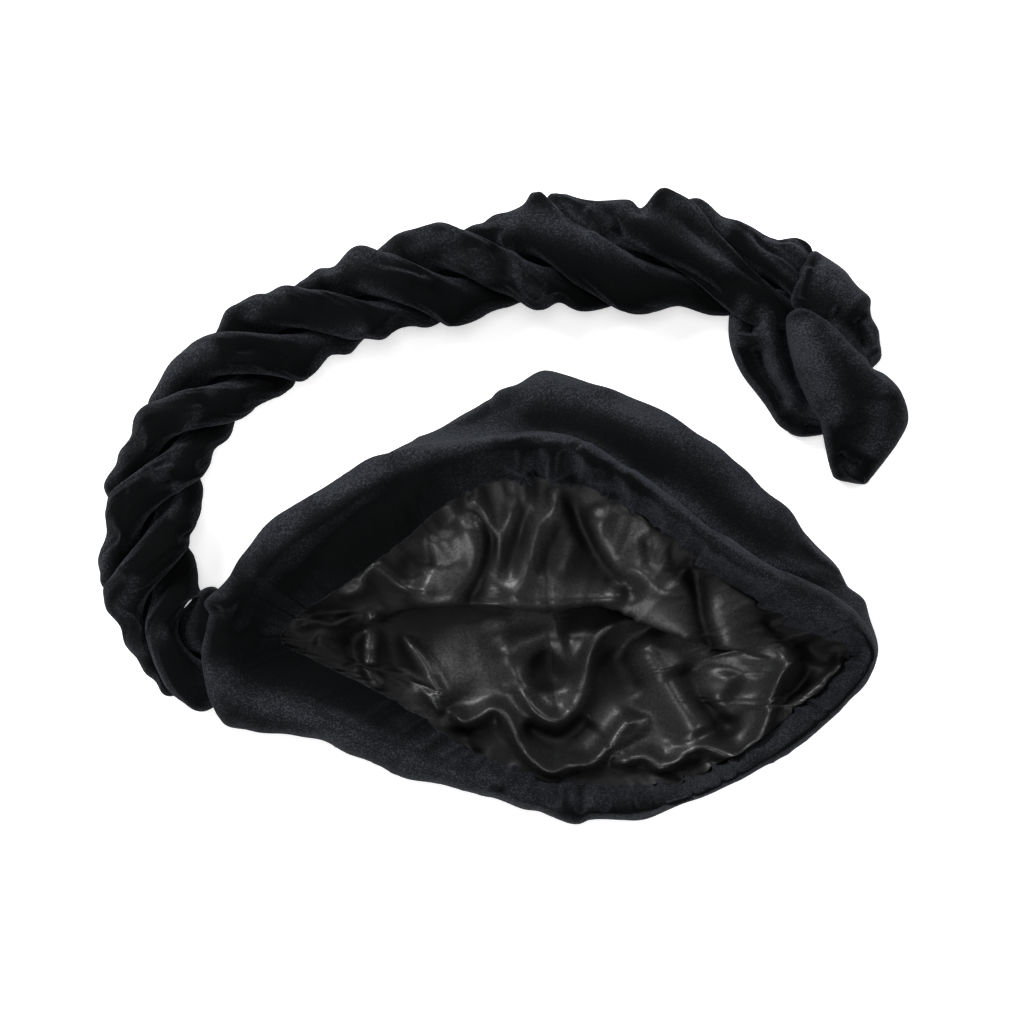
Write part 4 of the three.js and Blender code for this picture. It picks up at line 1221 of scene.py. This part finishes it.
def makeSatin():
    # painted highlight on raised folds and painted shade in low ones: gloss and colour both follow
    # the painted light * the threads
    settings = {
        "warp": (0.001, 0.001, 0.0011, 1.0),
        # float is a paler colour painted on raised folds as highlight; warp is the satin's own black
        "float": (0.0065, 0.0067, 0.007, 1.0),
        "threadScale": 900.0,
        "patchScale": 40.0,
        "specular": 0.16,
        "gloss": 0.6,
        "glossRoughness": 0.38,
        "raised": (-0.15, 0.85, 0.0, 1.0),
        "threads": (0.38, 0.62, 0.5, 1.5),
        "roughness": (0.3, 0.7, 0.54, 0.62),
        "bumpDistance": 0.0003,
        "bumpStrength": 0.6,
    }
    material, tree, shader = newMaterial("satin")
    cloth = addGrain(tree, grainGroup, settings["threadScale"], settings["patchScale"])
    raised = addRange(tree, addPaintedLight(tree), settings["raised"])
    threads = addRange(tree, cloth.outputs["Grain"], settings["threads"])
    lit = addMath(tree, "MULTIPLY", raised, threads)
    colour = addColours(tree, lit, settings["warp"], settings["float"])
    tree.links.new(colour, shader.inputs["Base Color"])
    rough = addRange(tree, cloth.outputs["Patches"], settings["roughness"])
    tree.links.new(rough, shader.inputs["Roughness"])
    # the coat's gloss follows the same painted highlight and shade
    gloss = addRange(tree, lit, (0.0, 1.0, 0.0, settings["gloss"]))
    tree.links.new(gloss, shader.inputs["Coat Weight"])
    addBump(tree, cloth.outputs["Grain"], settings["bumpDistance"], settings["bumpStrength"], shader)
    setInputs(shader, {
        "Specular IOR Level": settings["specular"],
        "Coat Roughness": settings["glossRoughness"],
    })
    return material


def makeFloor():
    # a pale square that glows a little, so that the ground stays near white
    settings = {"colour": (0.9, 0.9, 0.9, 1.0), "roughness": 0.8, "glow": 0.6, "reach": 6.0}
    material, tree, shader = newMaterial("floor")
    setInputs(shader, {
        "Base Color": settings["colour"],
        "Roughness": settings["roughness"],
        "Emission Color": settings["colour"],
        "Emission Strength": settings["glow"],
    })
    mesh = bpy.data.meshes.new("floor")
    reach = settings["reach"]
    corners = [(-reach, -reach, 0), (reach, -reach, 0), (reach, reach, 0), (-reach, reach, 0)]
    mesh.from_pydata(corners, [], [(0, 1, 2, 3)])
    mesh.materials.append(material)
    floor = bpy.data.objects.new("floor", mesh)
    bpy.context.scene.collection.objects.link(floor)


def makeLights():
    # square lamps aimed at the frame's origin, with places in metres and powers in watts
    rows = table("name place power size", [
        ("key", (-1.1, 1.2, 1.25), 50.0, 0.7),
        ("overhead", (-0.1, 0.3, 2.3), 20.0, 1.2),
        ("fill", (1.4, 0.7, 0.8), 14.0, 0.8),
        ("front", (-0.5, -1.5, 0.9), 18.0, 0.8),
    ])
    for row in rows:
        data = bpy.data.lights.new(row["name"], "AREA")
        data.energy = row["power"]
        data.size = row["size"]
        light = bpy.data.objects.new(row["name"], data)
        light.location = row["place"]
        aim = Vector((0, 0, 0)) - light.location
        light.rotation_euler = aim.to_track_quat("-Z", "Y").to_euler()
        bpy.context.scene.collection.objects.link(light)


def makeWorld():
    # a pale surround that darkens towards the zenith, so gloss shows its folds
    settings = {"horizon": 0.16, "zenith": 0.1}
    world = bpy.data.worlds.new("studio")
    bpy.context.scene.world = world
    world.use_nodes = True
    tree = world.node_tree
    where = tree.nodes.new("ShaderNodeTexCoord")
    split = tree.nodes.new("ShaderNodeSeparateXYZ")
    tree.links.new(where.outputs["Generated"], split.inputs["Vector"])
    strength = addRange(tree, split.outputs["Z"], (0.0, 1.0, settings["horizon"], settings["zenith"]))
    tree.links.new(strength, tree.nodes["Background"].inputs["Strength"])
    setInputs(tree.nodes["Background"], {"Color": (1, 1, 1, 1)})
    bpy.context.scene.view_settings.view_transform = "Standard"


grainGroup = makeGrainGroup()
velvet = makeVelvet()
satin = makeSatin()
print("materials made")
makeShell()
print("cap made")
makeLining()
print("lining made")
makeStrands()
print("braid made")
makeTails()
print("tails made")
makeFloor()
makeLights()
makeWorld()
print("stage made")
